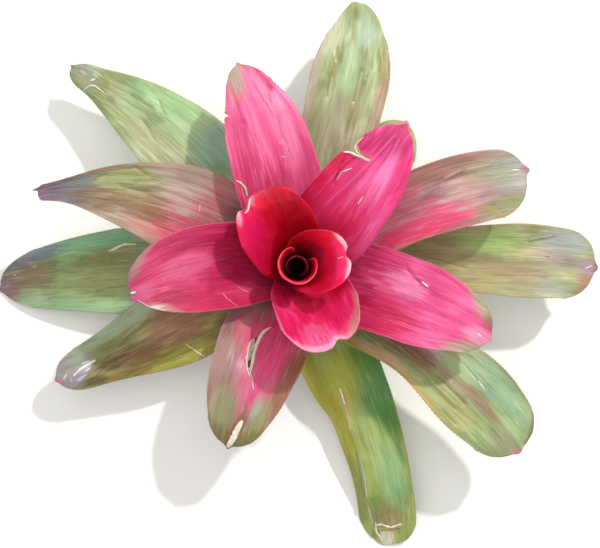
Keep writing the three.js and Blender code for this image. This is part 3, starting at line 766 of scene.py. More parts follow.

# %% [markdown]
# ## How the pink leaves are coloured
#
# The five leaves round the heart are hot pink, crimson low down and streaked with paler pink.
# The tips of all but the first turn brown and green, most of all in leaf 10, which keeps its
# pink only in the middle. The white and brown scratches are where the skin was torn. Their faint
# pale pink lines lie on ridges as painted highlights, the dark ones in dents as painted shade,
# and leaf 10 has a painted shadow along one margin.

# %% Looks of the pink leaves
WHITE, SILVER, CREAM = "FFFFFF", "E6E2E2", "F2E6C8"
PINK_UNDER = "C77F86"
PINK_LOOKS = {
    # Leaf 6: the washes at x 0.1, t 0.5 and x -0.2, t 0.62 are painted light at its foot, where the lamp only
    # grazes it; the bright pink wash at its right edge low down is partly painted highlight; the pale wash at
    # x -0.3, t 0.76 and the faint pale pink lines are painted highlights; the dark wash at x 0.8 near its end
    # and the dark lines in its three dents are painted shade.
    6: Look("F1448C", "FF8AC6", "CA2056", "D04470", PINK_UNDER, 0.8, 0.35, [
        Wash(0.85, 0.56, 0.35, 0.3, "D71145", 0.85), Wash(0.3, 0.45, 0.4, 0.12, "FF559E", 0.6),
        Wash(-0.75, 0.5, 0.35, 0.14, "FF74B8", 0.7), Wash(-0.35, 0.5, 0.3, 0.1, "DB1C4D", 0.5),
        Wash(0, 0.95, 0.8, 0.13, "B52B68", 0.8), Wash(0, 1, 0.2, 0.025, "AC3F52", 0.7),
        Wash(0.8, 0.85, 0.3, 0.07, "A41C54", 0.6), Wash(-0.3, 0.76, 0.25, 0.14, "FF98D3", 0.6),
        Wash(0.1, 0.5, 0.8, 0.16, "F0387C", 0.7, 0.6), Wash(-0.2, 0.62, 0.6, 0.12, "FA4C8C", 0.5, 0.8)], [
        Scratch(0.48, 0.727, 0.6, 0.69, 0.03, WHITE, "8A4A54"),
        Scratch(0.6, 0.69, 0.56, 0.641, 0.025, SILVER, "8A4A54"),
        Scratch(-0.17, 0.645, -0.17, 0.6, 0.04, WHITE, "B06A70"),
        Scratch(-0.17, 0.6, -0.18, 0.541, 0.02, "6A4A3C"),
        Scratch(0.74, 0.71, 0.58, 0.62, 0.09, "94103A", core=SOFT),
        Scratch(0.05, 0.55, 0.1, 0.7, 0.28, "FF9CC8", core=FAINT),
        Scratch(-0.5, 0.6, -0.42, 0.8, 0.28, "FFA4CC", core=FAINT),
        Scratch(0.42, 0.48, 0.12, 0.94, 0.1, "FF90BC", core=FAINT),
        Scratch(0.02, 0.5, 0.0, 0.9, 0.1, "FF88B8", core=FAINT),
        Scratch(-0.3, 0.52, -0.1, 0.93, 0.12, "FF98C4", core=FAINT),
        Scratch(0.25, 0.5, 0.14, 0.84, 0.08, "B8205A", core=FAINT),
        Scratch(-0.15, 0.66, -0.08, 0.84, 0.08, "B8205A", core=FAINT)]),
    # In leaf 7 the pale pink patch at x -0.1, t 0.7 and the whitish wash at the end of its margin are painted
    # highlights.
    7: Look("BA2D5D", "D65D8A", "9A1841", "C06478", PINK_UNDER, 0.6, 0.35, [
        Wash(-0.4, 0.45, 0.8, 0.22, "A60F3D", 0.6), Wash(0.9, 0.55, 0.35, 0.35, "C22D57", 0.6),
        Wash(-0.75, 1, 0.5, 0.07, "9A7D71", 0.85), Wash(0.9, 1, 0.35, 0.1, "A68679", 0.85),
        Wash(0.15, 0.95, 0.3, 0.08, "D6719E", 0.5), Wash(0, 1, 1.2, 0.015, "827186", 0.7),
        Wash(-0.1, 0.7, 0.3, 0.14, "D96D9A", 0.5, 0.9), Wash(0.86, 0.93, 0.16, 0.06, "E4CCD4", 0.8, 0.4)], [
        Scratch(0.64, 0.547, 0.96, 0.49, 0.02, "F0A8C0"), Scratch(0.53, 0.435, 0.7, 0.373, 0.02, "F0A8C0"),
        Scratch(-0.01, 0.976, 0.04, 0.955, 0.05, SILVER, "9A6070"),
        Scratch(0.33, 0.962, 0.76, 0.927, 0.045, "E8D0D4", core=SOFT),
        Scratch(0.03, 0.805, 0.04, 0.812, 0.03, "8A1C3C"),
        Scratch(0.05, 0.729, 0.06, 0.735, 0.03, "8A1C3C")]),
    # In leaf 8 the white line on its small ridge and the faint pale pink lines are painted highlights, and
    # the dark soft lines in its two dents are painted shade.
    8: Look("DA4B85", "F68BBF", "B72259", "D0607C", PINK_UNDER, 0.75, 0.35, [
        Wash(-0.6, 0.5, 0.5, 0.22, "BF193F", 0.75), Wash(0, 0.38, 1.2, 0.1, "B71B48", 0.5),
        Wash(0.85, 1, 0.45, 0.09, "8B9F6D", 0.9, 0.6), Wash(-0.85, 1, 0.5, 0.11, "9BA685", 0.9, 0.6),
        Wash(0.4, 1, 0.25, 0.05, "896451", 0.6, 0.5), Wash(-0.15, 0.95, 0.3, 0.08, "E69DBA", 0.7),
        Wash(0.3, 0.6, 0.3, 0.1, "FAA6D2", 0.5, 0.9)], [
        Scratch(0.66, 0.58, 0.47, 0.64, 0.075, "94123C", core=SOFT),
        Scratch(0.52, 0.658, 0.48, 0.683, 0.045, WHITE, "B03060"),
        Scratch(0.32, 0.7, 0.36, 0.79, 0.075, "A81848", core=SOFT),
        Scratch(0.0, 0.45, 0.2, 0.62, 0.28, "FF9CC6", core=FAINT),
        Scratch(-0.08, 0.93, -0.12, 0.945, 0.04, CREAM, "A06858"),
        Scratch(-0.3, 0.45, -0.2, 0.8, 0.2, "D03064", core=FAINT),
        Scratch(0.35, 0.4, 0.4, 0.6, 0.2, "FFA8D0", core=FAINT)]),
    # In leaf 9 the faint dark lines along its dents and a pleat are painted shade, and the two faint pale
    # pink lines are painted highlights.
    9: Look("E35F93", "FB9FC7", "BF2C5D", "D8708E", PINK_UNDER, 0.75, 0.35, [
        Wash(0.6, 0.42, 0.8, 0.2, "BF2158", 0.7), Wash(0.35, 1, 0.55, 0.12, "A7A78D", 0.95, 0.8),
        Wash(-0.35, 1, 0.25, 0.05, "AB786D", 0.8, 0.6), Wash(0.5, 0.68, 0.3, 0.2, "CB4176", 0.5, 0.6),
        Wash(-0.5, 0.72, 0.3, 0.2, "FDA3CB", 0.5), Wash(-0.8, 0.9, 0.2, 0.08, "B72754", 0.6)], [
        Scratch(-0.25, 0.6, -0.21, 0.54, 0.035, "6A4A30", core=BLURRED),
        Scratch(-0.2, 0.562, -0.28, 0.56, 0.03, CREAM, "7A6A4C"),
        Scratch(-0.3, 0.88, -0.34, 0.775, 0.15, "B4305C", core=FAINT),
        Scratch(-0.34, 0.775, -0.42, 0.7, 0.15, "B02858", core=FAINT),
        Scratch(0.7, 0.92, 0.54, 0.82, 0.15, "B03058", core=FAINT),
        Scratch(-0.72, 0.86, -0.5, 0.79, 0.15, "B02454", core=FAINT),
        Scratch(-0.47, 0.732, -0.34, 0.64, 0.15, "A82450", core=FAINT),
        Scratch(0.55, 0.82, 0.5, 0.66, 0.15, "B02C5C", core=FAINT),
        Scratch(-0.74, 0.82, -0.67, 0.75, 0.28, "FFACD0", core=FAINT),
        Scratch(0.2, 0.84, 0.1, 0.6, 0.28, "FFA4CA", core=FAINT),
        Scratch(-0.345, 0.79, -0.35, 0.775, 0.03, "8A2444", core=BLURRED)]),
    # In leaf 10 the dark red-brown wash along the margin at x 0.95 is painted shadow, and the wide dark brown
    # line down the slit is partly the dried edge of the tear and partly painted shade in the slit.
    10: Look("937867", "A7927E", "765A44", "A89080", PINK_UNDER, 0.6, 0.9, [
        Wash(0.2, 0.5, 0.6, 0.34, "D93F81", 0.95, 0.6), Wash(-0.3, 0.58, 0.3, 0.3, "BA6981", 0.6, 0.8),
        Wash(-0.8, 0.5, 0.35, 0.25, "A37C81", 0.6), Wash(0.95, 0.6, 0.35, 0.22, "8B5239", 0.85, 0.6),
        Wash(-0.5, 0.82, 0.4, 0.14, "869163", 0.8, 0.6), Wash(0.6, 0.84, 0.3, 0.14, "888F5B", 0.8, 0.5),
        Wash(0.42, 0.76, 0.14, 0.08, "93A598", 0.6, 0.6), Wash(0, 1, 1.4, 0.09, "727239", 0.85),
        Wash(0.15, 0.86, 0.15, 0.1, "7A544C", 0.7, 0.7), Wash(0.1, 0.34, 0.9, 0.06, "AA2957", 0.5),
        Wash(0.0, 0.42, 0.7, 0.1, "D84478", 0.7, 0.9)], [
        Scratch(0.09, 0.322, -0.06, 0.352, 0.025, "6E1C38"),
        Scratch(-0.06, 0.352, -0.18, 0.44, 0.07, "6A2C38"),
        Scratch(-0.2, 0.44, -0.14, 0.58, 0.12, "3A2A20"),
        Scratch(-0.12, 0.585, 0.01, 0.62, 0.04, "D8CCC0", "5A3A48"),
        Scratch(0.01, 0.62, 0.17, 0.68, 0.03, "D8CCC0", "5A3A48"),
        Scratch(0.17, 0.68, 0.2, 0.74, 0.02, "8A3A58"), Scratch(0.1, 0.82, -0.2, 0.97, 0.22, "8A6044")]),
}
print("looks of the pink leaves:", list(PINK_LOOKS))

# %% [markdown]
# ## How the younger green leaves are coloured
#
# The next leaves are on their way from pink to green. They keep some pink near the cup or along
# one side, and have olive, brown and bluish patches, and long dull dents, darker inside with
# painted shade and with painted highlights along their edges. The tip of leaf 15 is a grey-purple
# hood with white painted highlights on its ridge, over a painted shadow on the flank below it.

# %% Looks of the younger green leaves
GREEN_UNDER = "98A476"
YOUNG_GREEN_LOOKS = {
    # In leaf 11 the pale soft lines on its two blisters are painted highlights, and the dark soft line beside
    # the first one is painted shade.
    11: Look("AC888A", "C4A79D", "8D6554", "B88478", PINK_UNDER, 0.6, 1.0, [
        Wash(-0.62, 0.55, 0.36, 0.3, "E84078", 0.95, 0.6), Wash(-0.35, 0.66, 0.25, 0.1, "E34D86", 0.6, 0.9),
        Wash(-0.2, 0.5, 0.5, 0.16, "C14D6F", 0.6, 0.6), Wash(0.6, 0.5, 0.5, 0.12, "E7578A", 0.6, 0.6),
        Wash(0.75, 0.66, 0.35, 0.16, "936754", 0.6, 0.5), Wash(0.3, 0.93, 0.8, 0.12, "9CAAA0", 0.85, 0.5),
        Wash(0.35, 0.84, 0.4, 0.08, "A09B76", 0.6, 0.6), Wash(-0.72, 0.9, 0.42, 0.13, "86955E", 0.85, 0.5),
        Wash(-0.2, 0.8, 0.35, 0.1, "B58F8F", 0.5, 0.8), Wash(0.35, 1, 0.15, 0.03, "B1657E", 0.8, 0.2),
        Wash(0.8, 0.84, 0.2, 0.12, "8C7458", 0.5, 0.6), Wash(0.2, 0.9, 0.5, 0.05, "9CA890", 0.6, 0.6)], [
        Scratch(0.57, 0.76, 0.47, 0.7, 0.09, "C8B8A4", core=SOFT),
        Scratch(0.5, 0.765, 0.42, 0.71, 0.053, "6E5440", core=SOFT),
        Scratch(0.59, 0.86, 0.54, 0.78, 0.09, "B8BE9A", core=SOFT),
        Scratch(0.35, 0.93, 0.33, 0.955, 0.03, "E8D8DC")]),
    # In leaf 12 the dark soft lines in two of its dents are painted shade, and the pale soft line along its
    # fold is a painted highlight.
    12: Look("93836C", "B3AC9E", "6F5842", "987864", GREEN_UNDER, 0.75, 0.9, [
        Wash(0.55, 0.45, 0.5, 0.22, "DD5379", 0.85, 0.9), Wash(0.2, 0.5, 0.5, 0.12, "C3566D", 0.6, 0.9),
        Wash(-0.6, 0.5, 0.6, 0.18, "BAA79F", 0.7), Wash(-0.5, 0.71, 0.4, 0.14, "9DAE6B", 0.85, 0.6),
        Wash(0.3, 0.66, 0.3, 0.16, "816347", 0.7, 0.6), Wash(0.8, 0.62, 0.25, 0.1, "AA8875", 0.6, 0.6),
        Wash(0, 0.93, 1.2, 0.15, "786C7E", 0.9, 0.5), Wash(-0.5, 0.84, 0.3, 0.06, "818F91", 0.7, 0.6),
        Wash(0.1, 1, 0.8, 0.04, "A46C93", 0.7), Wash(0, 0.38, 1, 0.08, "C35170", 0.6),
        Wash(0.2, 0.78, 0.4, 0.1, "8A6E3C", 0.6, 0.7), Wash(0.0, 0.62, 0.5, 0.08, "8E7C44", 0.5, 0.9)], [
        Scratch(-0.26, 0.428, -0.1, 0.418, 0.025, "E8C8B0"),
        Scratch(-0.3, 0.612, -0.2, 0.54, 0.075, "C8B098", core=SOFT),
        Scratch(-0.28, 0.712, -0.05, 0.52, 0.06, "56402A", core=SOFT),
        Scratch(-0.86, 0.676, -0.64, 0.632, 0.075, "6A5238", core=SOFT),
        Scratch(-0.5, 0.54, -0.55, 0.45, 0.075, "C4AC98", core=SOFT),
        Scratch(-0.05, 0.78, 0.05, 0.5, 0.12, "6A5034", core=FAINT),
        Scratch(0.3, 0.8, 0.3, 0.5, 0.12, "74503C", core=FAINT),
        Scratch(-0.45, 0.66, -0.4, 0.42, 0.1, "D4BCA8", core=FAINT),
        Scratch(0.12, 0.72, 0.1, 0.46, 0.08, "C4A48C", core=FAINT)]),
    # In leaf 13 the dark brown wash low in the middle is painted shadow, the dark soft lines in three of its
    # dents are painted shade, and the pale soft line beside them is a painted highlight.
    13: Look("8CA16B", "A8B98A", "6A7A3F", "A48E6C", GREEN_UNDER, 0.45, 1.0, [
        Wash(0.6, 0.42, 0.3, 0.18, "CC4475", 0.9, 0.5), Wash(-0.1, 0.43, 0.5, 0.16, "6C4A33", 0.9, 0.4),
        Wash(-0.95, 0.45, 0.2, 0.3, "AE9D4D", 0.8), Wash(-0.8, 0.42, 0.15, 0.12, "C89D96", 0.5),
        Wash(-0.4, 0.62, 0.25, 0.14, "949159", 0.6), Wash(-0.02, 0.72, 0.2, 0.16, "A07C6D", 0.75, 0.8),
        Wash(0.6, 0.8, 0.4, 0.18, "92B398", 0.6, 0.7), Wash(0.3, 0.64, 0.25, 0.1, "98B582", 0.7, 0.5),
        Wash(-0.3, 0.93, 0.4, 0.08, "98917B", 0.6), Wash(-0.15, 1, 0.2, 0.025, "C87C8E", 0.9),
        Wash(0.6, 1, 0.5, 0.02, "7E5C47", 0.8), Wash(0.2, 0.52, 0.25, 0.07, "C4B4B4", 0.7, 0.9),
        Wash(-0.1, 0.52, 0.3, 0.07, "7E5040", 0.7, 0.5), Wash(-0.55, 0.72, 0.3, 0.12, "A49E5C", 0.6, 0.7)], [
        Scratch(0.43, 0.642, 0.33, 0.71, 0.04, "E4E4E4", "74785C"),
        Scratch(0.2, 0.716, -0.02, 0.75, 0.075, "94706A", core=SOFT),
        Scratch(-0.27, 0.61, -0.29, 0.737, 0.09, "5E6434", core=SOFT),
        Scratch(-0.6, 0.62, -0.56, 0.72, 0.09, "6A7038", core=SOFT),
        Scratch(-0.8, 0.7, -0.8, 0.765, 0.06, "585E2C", core=SOFT),
        Scratch(-0.48, 0.6, -0.46, 0.72, 0.09, "C4CCA0", core=SOFT),
        Scratch(0.34, 0.72, 0.3, 0.75, 0.05, "D8DCDC", "7A6A64"),
        Scratch(-0.5, 0.5, -0.45, 0.75, 0.14, "6E7040", core=FAINT),
        Scratch(0.1, 0.8, 0.1, 0.95, 0.12, "A8BCA0", core=FAINT)]),
    # Every mark of leaf 14 is painted light: the dark soft lines in its dents are painted shade, and the
    # faint pale lines and small milky spots beside them are painted highlights.
    14: Look("9AAA7A", "BEC6A4", "7B864E", "A88C74", GREEN_UNDER, 0.55, 1.0, [
        Wash(-0.95, 0.6, 0.22, 0.22, "A67C6E", 0.75, 0.7), Wash(0.95, 0.6, 0.2, 0.28, "B6A29A", 0.6),
        Wash(0.46, 0.74, 0.1, 0.12, "908C48", 0.7, 0.7), Wash(0.05, 0.72, 0.28, 0.1, "AACA98", 0.7, 0.5),
        Wash(-0.3, 0.87, 0.35, 0.07, "AEC6B1", 0.75, 0.5), Wash(0, 0.5, 0.6, 0.13, "A29887", 0.6, 0.7),
        Wash(-0.85, 0.76, 0.2, 0.07, "948A4C", 0.8, 0.4), Wash(-0.35, 0.6, 0.2, 0.1, "908C4C", 0.5, 0.7),
        Wash(0.15, 0.88, 0.06, 0.08, "888E50", 0.6, 0.7)], [
        Scratch(0.5, 0.784, 0.35, 0.742, 0.075, "74783C", core=SOFT),
        Scratch(0.58, 0.78, 0.45, 0.74, 0.12, "D8E4C8", core=FAINT),
        Scratch(0.54, 0.687, 0.48, 0.61, 0.09, "7C7C3C", core=SOFT),
        Scratch(0.45, 0.68, 0.4, 0.61, 0.12, "DCE6CC", core=FAINT),
        Scratch(-0.21, 0.727, -0.2, 0.615, 0.075, "7A8040", core=SOFT),
        Scratch(-0.28, 0.72, -0.27, 0.61, 0.12, "E0EAD0", core=FAINT),
        Scratch(-0.23, 0.609, -0.21, 0.604, 0.07, "DCE8E4", core=MILKY),
        Scratch(-0.21, 0.572, -0.22, 0.467, 0.09, "6E7048", core=SOFT),
        Scratch(0.46, 0.748, 0.45, 0.74, 0.06, "D4E0E0", core=MILKY),
        Scratch(-0.49, 0.744, -0.42, 0.704, 0.075, "82863C", core=SOFT)]),
    # In leaf 15 the white and pale grey marks on the hood at its tip are painted highlights, as is the faint
    # pale line by the dent at x -0.4; the dark line along the fold and the dark brown wash below it are
    # painted shadow on its lower flank, and the dark soft line in that dent is painted shade.
    15: Look("908C5C", "ACAB70", "625232", "84644E", GREEN_UNDER, 0.45, 1.0, [
        Wash(-0.85, 0.66, 0.35, 0.35, "94AC8E", 0.9, 0.4), Wash(-0.25, 0.72, 0.2, 0.18, "7D8E53", 0.6, 0.6),
        Wash(0.75, 0.5, 0.4, 0.16, "959726", 0.85, 0.5), Wash(0.45, 0.62, 0.3, 0.1, "835426", 0.7, 0.8),
        Wash(0.3, 0.74, 0.25, 0.06, "664B29", 0.7, 0.5), Wash(0, 0.45, 0.5, 0.14, "A3645A", 0.7, 0.5),
        Wash(0.0, 0.93, 0.75, 0.1, "A89EAE", 0.85, 0.4), Wash(-0.35, 0.86, 0.3, 0.06, "9EA49F", 0.7, 0.5),
        Wash(0.15, 1, 0.2, 0.03, "CB627E", 0.8), Wash(0.85, 0.72, 0.2, 0.1, "7F6726", 0.7, 0.6),
        Wash(0.2, 0.62, 0.25, 0.14, "6E4424", 0.5, 0.8), Wash(0.72, 0.835, 0.26, 0.06, "5E4422", 0.85, 0.3),
        Wash(-0.3, 0.9, 0.15, 0.06, "8E9880", 0.7, 0.5), Wash(0.05, 0.85, 0.12, 0.03, "D8DCE4", 0.4, 0.9)], [
        Scratch(-0.08, 0.8, -0.02, 0.87, 0.12, WHITE, core=MILKY),
        Scratch(0.0, 0.87, 0.12, 0.905, 0.1, "F4F4FA", core=MILKY),
        Scratch(-0.15, 0.82, -0.18, 0.85, 0.12, "E8ECF0", core=SOFT),
        Scratch(0.3, 0.86, 0.4, 0.9, 0.15, "DCDCE8", core=SOFT),
        Scratch(0.27, 0.772, 0.74, 0.873, 0.06, "4E3C18", core=SOFT),
        Scratch(-0.4, 0.54, -0.18, 0.685, 0.135, "5E7048", core=SOFT),
        Scratch(0.52, 0.456, 0.96, 0.415, 0.035, CREAM, "6A4A34"),
        Scratch(-0.52, 0.55, -0.36, 0.66, 0.15, "A8C4A8", core=FAINT),
        Scratch(0.1, 0.83, 0.16, 0.85, 0.08, "E8ECF2", core=MILKY),
        Scratch(0.2, 0.92, 0.3, 0.93, 0.08, "D8DCE8", core=SOFT),
        Scratch(-0.05, 0.93, 0.05, 0.95, 0.07, "F0F0F8", core=MILKY)]),
}
print("looks of the younger green leaves:", list(YOUNG_GREEN_LOOKS))

# %% [markdown]
# ## How the oldest leaves are coloured
#
# The oldest leaves are green all over, with brown and silvery patches near their ends. Leaf 18
# is folded along its length: one half is yellow, the other a strong green, and pale scratches
# follow the fold. Painted shadows of the leaves above darken leaf 17 and one half of leaf 18 near
# their feet, and the dents of leaves 16 and 17 have painted shade and highlights. Of leaf 19
# only a small piece shows, so its note is short.

# %% Looks of the oldest leaves
OLD_GREEN_LOOKS = {
    # In leaf 16 the dark soft lines in two of its dents are painted shade, and the pale soft line beside one
    # of them is a painted highlight.
    16: Look("9AA172", "B7B585", "7B7A4C", "9C8468", GREEN_UNDER, 0.35, 1.0, [
        Wash(0, 0.46, 0.8, 0.13, "8D7A52", 0.6, 0.5), Wash(0.55, 0.62, 0.4, 0.13, "8FAF63", 0.8, 0.5),
        Wash(0.6, 0.87, 0.4, 0.1, "9CA6A8", 0.8, 0.5), Wash(0.1, 0.84, 0.3, 0.1, "A28D92", 0.6, 0.7),
        Wash(-0.5, 0.6, 0.5, 0.14, "B0A774", 0.7, 0.6), Wash(-0.5, 0.76, 0.35, 0.08, "AE9181", 0.6, 0.8),
        Wash(-0.8, 0.84, 0.3, 0.07, "A6AFA3", 0.6, 0.6), Wash(-0.55, 0.97, 0.4, 0.05, "A06E69", 0.8, 0.5),
        Wash(0, 0.96, 0.3, 0.05, "A6899D", 0.7), Wash(0, 1, 0.15, 0.02, "8F4A63", 0.8),
        Wash(-0.2, 0.66, 0.25, 0.1, "A8906C", 0.5, 0.8)], [
        Scratch(0.51, 0.745, 0.69, 0.83, 0.09, "66703A", core=SOFT),
        Scratch(0.6, 0.75, 0.76, 0.82, 0.075, "B8CC94", core=SOFT),
        Scratch(0.13, 0.384, -0.26, 0.534, 0.053, "645634", core=SOFT),
        Scratch(-0.06, 0.949, 0.04, 0.97, 0.05, "E4DCE0", "8A6472"),
        Scratch(0.15, 0.805, 0.14, 0.82, 0.03, "5E5A44"),
        Scratch(-0.1, 0.5, -0.1, 0.75, 0.12, "8A8450", core=FAINT),
        Scratch(-0.7, 0.55, -0.75, 0.8, 0.14, "A8A070", core=FAINT)]),
    # In leaf 17 the bluish green wash at t 0.42 is the painted shadow of leaf 9, the dark soft lines in three
    # of its dents are painted shade, and the pale faint line beside one of them is a painted highlight.
    17: Look("9CB37E", "BBCBAB", "74874F", "8C8068", GREEN_UNDER, 0.45, 1.0, [
        Wash(-0.75, 0.55, 0.45, 0.26, "9EC88B", 0.7, 0.5), Wash(-0.5, 0.42, 0.8, 0.08, "87B1A1", 0.7, 0.3),
        Wash(0.5, 0.55, 0.5, 0.2, "AAA783", 0.6, 0.7), Wash(-0.1, 0.83, 0.3, 0.07, "918D53", 0.7, 0.8),
        Wash(-0.7, 0.84, 0.3, 0.08, "818D5C", 0.7, 0.5), Wash(-0.2, 0.93, 0.8, 0.06, "94998A", 0.9, 0.4),
        Wash(0.3, 0.93, 0.3, 0.03, "AEA37E", 0.7, 0.5), Wash(-0.2, 1, 0.2, 0.02, "9A4F64", 0.8),
        Wash(0.3, 0.8, 0.15, 0.02, "7F793E", 0.6, 0.4), Wash(-0.1, 0.86, 0.9, 0.035, "7E7E48", 0.6, 0.7),
        Wash(0.55, 0.7, 0.3, 0.2, "A4A470", 0.5, 0.8)], [
        Scratch(-0.1, 0.885, 0.08, 0.895, 0.09, "E4ECEC", core=MILKY),
        Scratch(-0.3, 0.88, -0.35, 0.9, 0.12, "D4E0DC", core=SOFT),
        Scratch(-0.1, 0.92, -0.2, 0.945, 0.135, "C8D4CC", core=SOFT),
        Scratch(-0.6, 0.666, -0.34, 0.62, 0.105, "7C8E44", core=SOFT),
        Scratch(-0.48, 0.68, -0.24, 0.63, 0.14, "D0E4B8", core=FAINT),
        Scratch(0.16, 0.668, 0.34, 0.591, 0.075, "84843E", core=SOFT),
        Scratch(-0.28, 0.751, -0.27, 0.673, 0.075, "80883E", core=SOFT),
        Scratch(-0.55, 0.87, -0.2, 0.84, 0.16, "6E7240", core=FAINT),
        Scratch(0.2, 0.62, 0.12, 0.45, 0.1, "A89C70", core=FAINT)]),
    # In leaf 18 the two dark green washes on the half at x 0.8 near its foot are the painted shadow of the
    # leaves above it.
    18: Look("9CAC5C", "B0BE7D", "66863A", "7E7040", GREEN_UNDER, 0.4, 0.9, [
        Wash(-0.85, 0.42, 0.5, 0.3, "A3A220", 0.95, 0.1), Wash(-0.9, 0.8, 0.42, 0.2, "80862C", 0.9, 0.1),
        Wash(0.8, 0.4, 0.55, 0.2, "508A30", 0.85, 0.2), Wash(0.15, 0.62, 0.3, 0.2, "A9BE7F", 0.6, 0.6),
        Wash(-0.1, 0.34, 0.5, 0.1, "A7AC2A", 0.8), Wash(0.2, 0.87, 0.6, 0.06, "9A7D5C", 0.65, 0.8),
        Wash(0.75, 0.84, 0.3, 0.12, "8B9659", 0.5, 0.5), Wash(0.04, 0.96, 0.28, 0.05, "DCD2B8", 0.9, 0.6),
        Wash(0.5, 0.7, 0.45, 0.14, "84AC7A", 0.75, 0.5), Wash(0.1, 0.86, 0.4, 0.07, "8A7C54", 0.45, 0.7),
        Wash(0.85, 0.43, 0.75, 0.13, "3C7C3C", 0.7, 0.05)], [
        Scratch(-0.25, 0.361, -0.28, 0.427, 0.08, "F4D8C0", "A4703C"),
        Scratch(-0.28, 0.42, -0.38, 0.507, 0.05, "E8C0A0", "A4703C"),
        Scratch(-0.38, 0.507, -0.35, 0.62, 0.03, "D8B898", "8C7038"),
        Scratch(-0.35, 0.62, -0.5, 0.78, 0.035, "D8D0C8", "6C7038"),
        Scratch(-0.5, 0.6, -0.68, 0.8, 0.15, "5E6C1E", core=SOFT),
        Scratch(-0.53, 0.359, -0.6, 0.39, 0.075, "9A6A28", core=SOFT),
        Scratch(-0.62, 0.42, -0.64, 0.43, 0.06, "8A5A28", core=BLURRED),
        Scratch(0.13, 0.824, 0.14, 0.832, 0.05, "A0344C", core=BLURRED),
        Scratch(0.14, 0.86, 0.16, 0.872, 0.07, "74605C", core=BLURRED),
        Scratch(-0.25, 0.885, -0.24, 0.893, 0.04, "A8444C", core=BLURRED),
        Scratch(0.74, 0.798, 0.75, 0.81, 0.05, "A86C60", core=BLURRED),
        Scratch(-0.12, 0.85, -0.1, 0.87, 0.06, "B44C50", core=SOFT),
        Scratch(-0.2, 0.925, 0.5, 0.905, 0.05, "6E4C30", core=BLURRED),
        Scratch(-0.26, 0.93, -0.12, 0.99, 0.06, "8A6A48", core=SOFT),
        Scratch(0.34, 0.92, 0.2, 0.985, 0.07, "8E6E4C", core=SOFT),
        Scratch(-0.5, 0.83, -0.42, 0.9, 0.04, "E8E0D0", "7A6030")]),
    19: Look("9CAC70", "BCC494", "788850", "A08868", GREEN_UNDER, 0.5, 0.8, [
        Wash(0, 1, 0.5, 0.04, "D07C8C", 0.9)]),
    20: Look("84A06C", "A8BA88", "62733B", "8C8088", GREEN_UNDER, 0.35, 1.0, [
        Wash(-0.3, 0.5, 0.6, 0.16, "7A713B", 0.7, 0.5), Wash(-0.9, 0.58, 0.35, 0.25, "73AB84", 0.85, 0.4),
        Wash(0.85, 0.6, 0.3, 0.4, "93BA8C", 0.8, 0.4), Wash(0.3, 0.64, 0.42, 0.17, "A0AC74", 0.75, 0.8),
        Wash(-0.1, 0.86, 0.6, 0.1, "8C6A58", 0.75, 0.9), Wash(-0.85, 0.84, 0.3, 0.14, "6D798A", 0.85, 0.4),
        Wash(0.1, 0.96, 0.95, 0.06, "8A5E70", 0.85, 0.5), Wash(0.7, 0.86, 0.3, 0.1, "98A68A", 0.6, 0.5),
        Wash(-0.7, 0.91, 0.35, 0.08, "74667A", 0.7, 0.5), Wash(0.2, 0.6, 0.5, 0.14, "8E8C50", 0.5, 0.8)], [
        Scratch(-0.6, 0.74, -0.64, 0.68, 0.14, "B8C8C0", core=FAINT),
        Scratch(-0.26, 0.917, -0.25, 0.925, 0.03, SILVER),
        Scratch(-0.42, 0.83, -0.44, 0.84, 0.09, "B4BC5C", core=SOFT),
        Scratch(0.4, 0.65, 0.45, 0.62, 0.045, "C0D0C0", core=SOFT)]),
}
LOOKS = {**HEART_LOOKS, **PINK_LOOKS, **YOUNG_GREEN_LOOKS, **OLD_GREEN_LOOKS}
print("washes:", sum(len(look.washes) for look in LOOKS.values()),
      "scratches:", sum(len(look.scratches) for look in LOOKS.values()))

# %% [markdown]
# ## Noise and shader of the leaves
#
# The noise that colours a leaf is read in two ways. Streaks and ribs are read by the share of the
# width, so that they draw together at the tip as the real ribs do, and are stretched along the
# leaf. Clouds, flecks and grain are read by the place in centimetres, so that they keep their
# size. A noise node mostly gives values from 0.3 to 0.7, so most changes that it drives are
# spread over that range or a part of it. The cuticle is waxy, so the shader has a weak coat over a
# middling rough base. The blade is thin, so a little light goes through it, and the same noise
# gives it a fine bump. The dried strips and the stem have the same shader, but rougher, and with
# less light through them.

# %% Noise and shader for the leaves
RIB_PLACE_STEP = 3.7
NOISE_MOST, NOISE_MIDDLE = (0.3, 0.7), (0.35, 0.65)


def colour_mix(tree, share, first, second, blend="MIX"):
    """A Mix node for colours, which takes them in its sockets 6 and 7 and gives one in socket 2."""
    made = add_node(tree, "ShaderNodeMix", {0: share, 6: first, 7: second},
                    data_type="RGBA", blend_type=blend)
    return made.outputs[2]


def noise_value(tree, place, scale, detail, roughness=0.5, distortion=0.0):
    inputs = {"Vector": place, "Scale": scale, "Detail": detail, "Roughness": roughness,
              "Distortion": distortion}
    return add_node(tree, "ShaderNodeTexNoise", inputs).outputs["Fac"]


def weighted(tree, *parts):
    """The sum of some values, each times its own weight."""
    total = 0.0
    for value, weight in parts:
        total = maths(tree, "MULTIPLY_ADD", value, weight, total)
    return total


def leaf_values(tree):
    """The values that the leaf's vertices carry: across, along, reach, dry and spread."""
    names = ("across", "along", "reach", "dry")
    made = [add_node(tree, "ShaderNodeAttribute", attribute_name=name) for name in names]
    place = add_node(tree, "ShaderNodeAttribute", attribute_name="spread").outputs["Vector"]
    return *(node.outputs["Fac"] for node in made), place


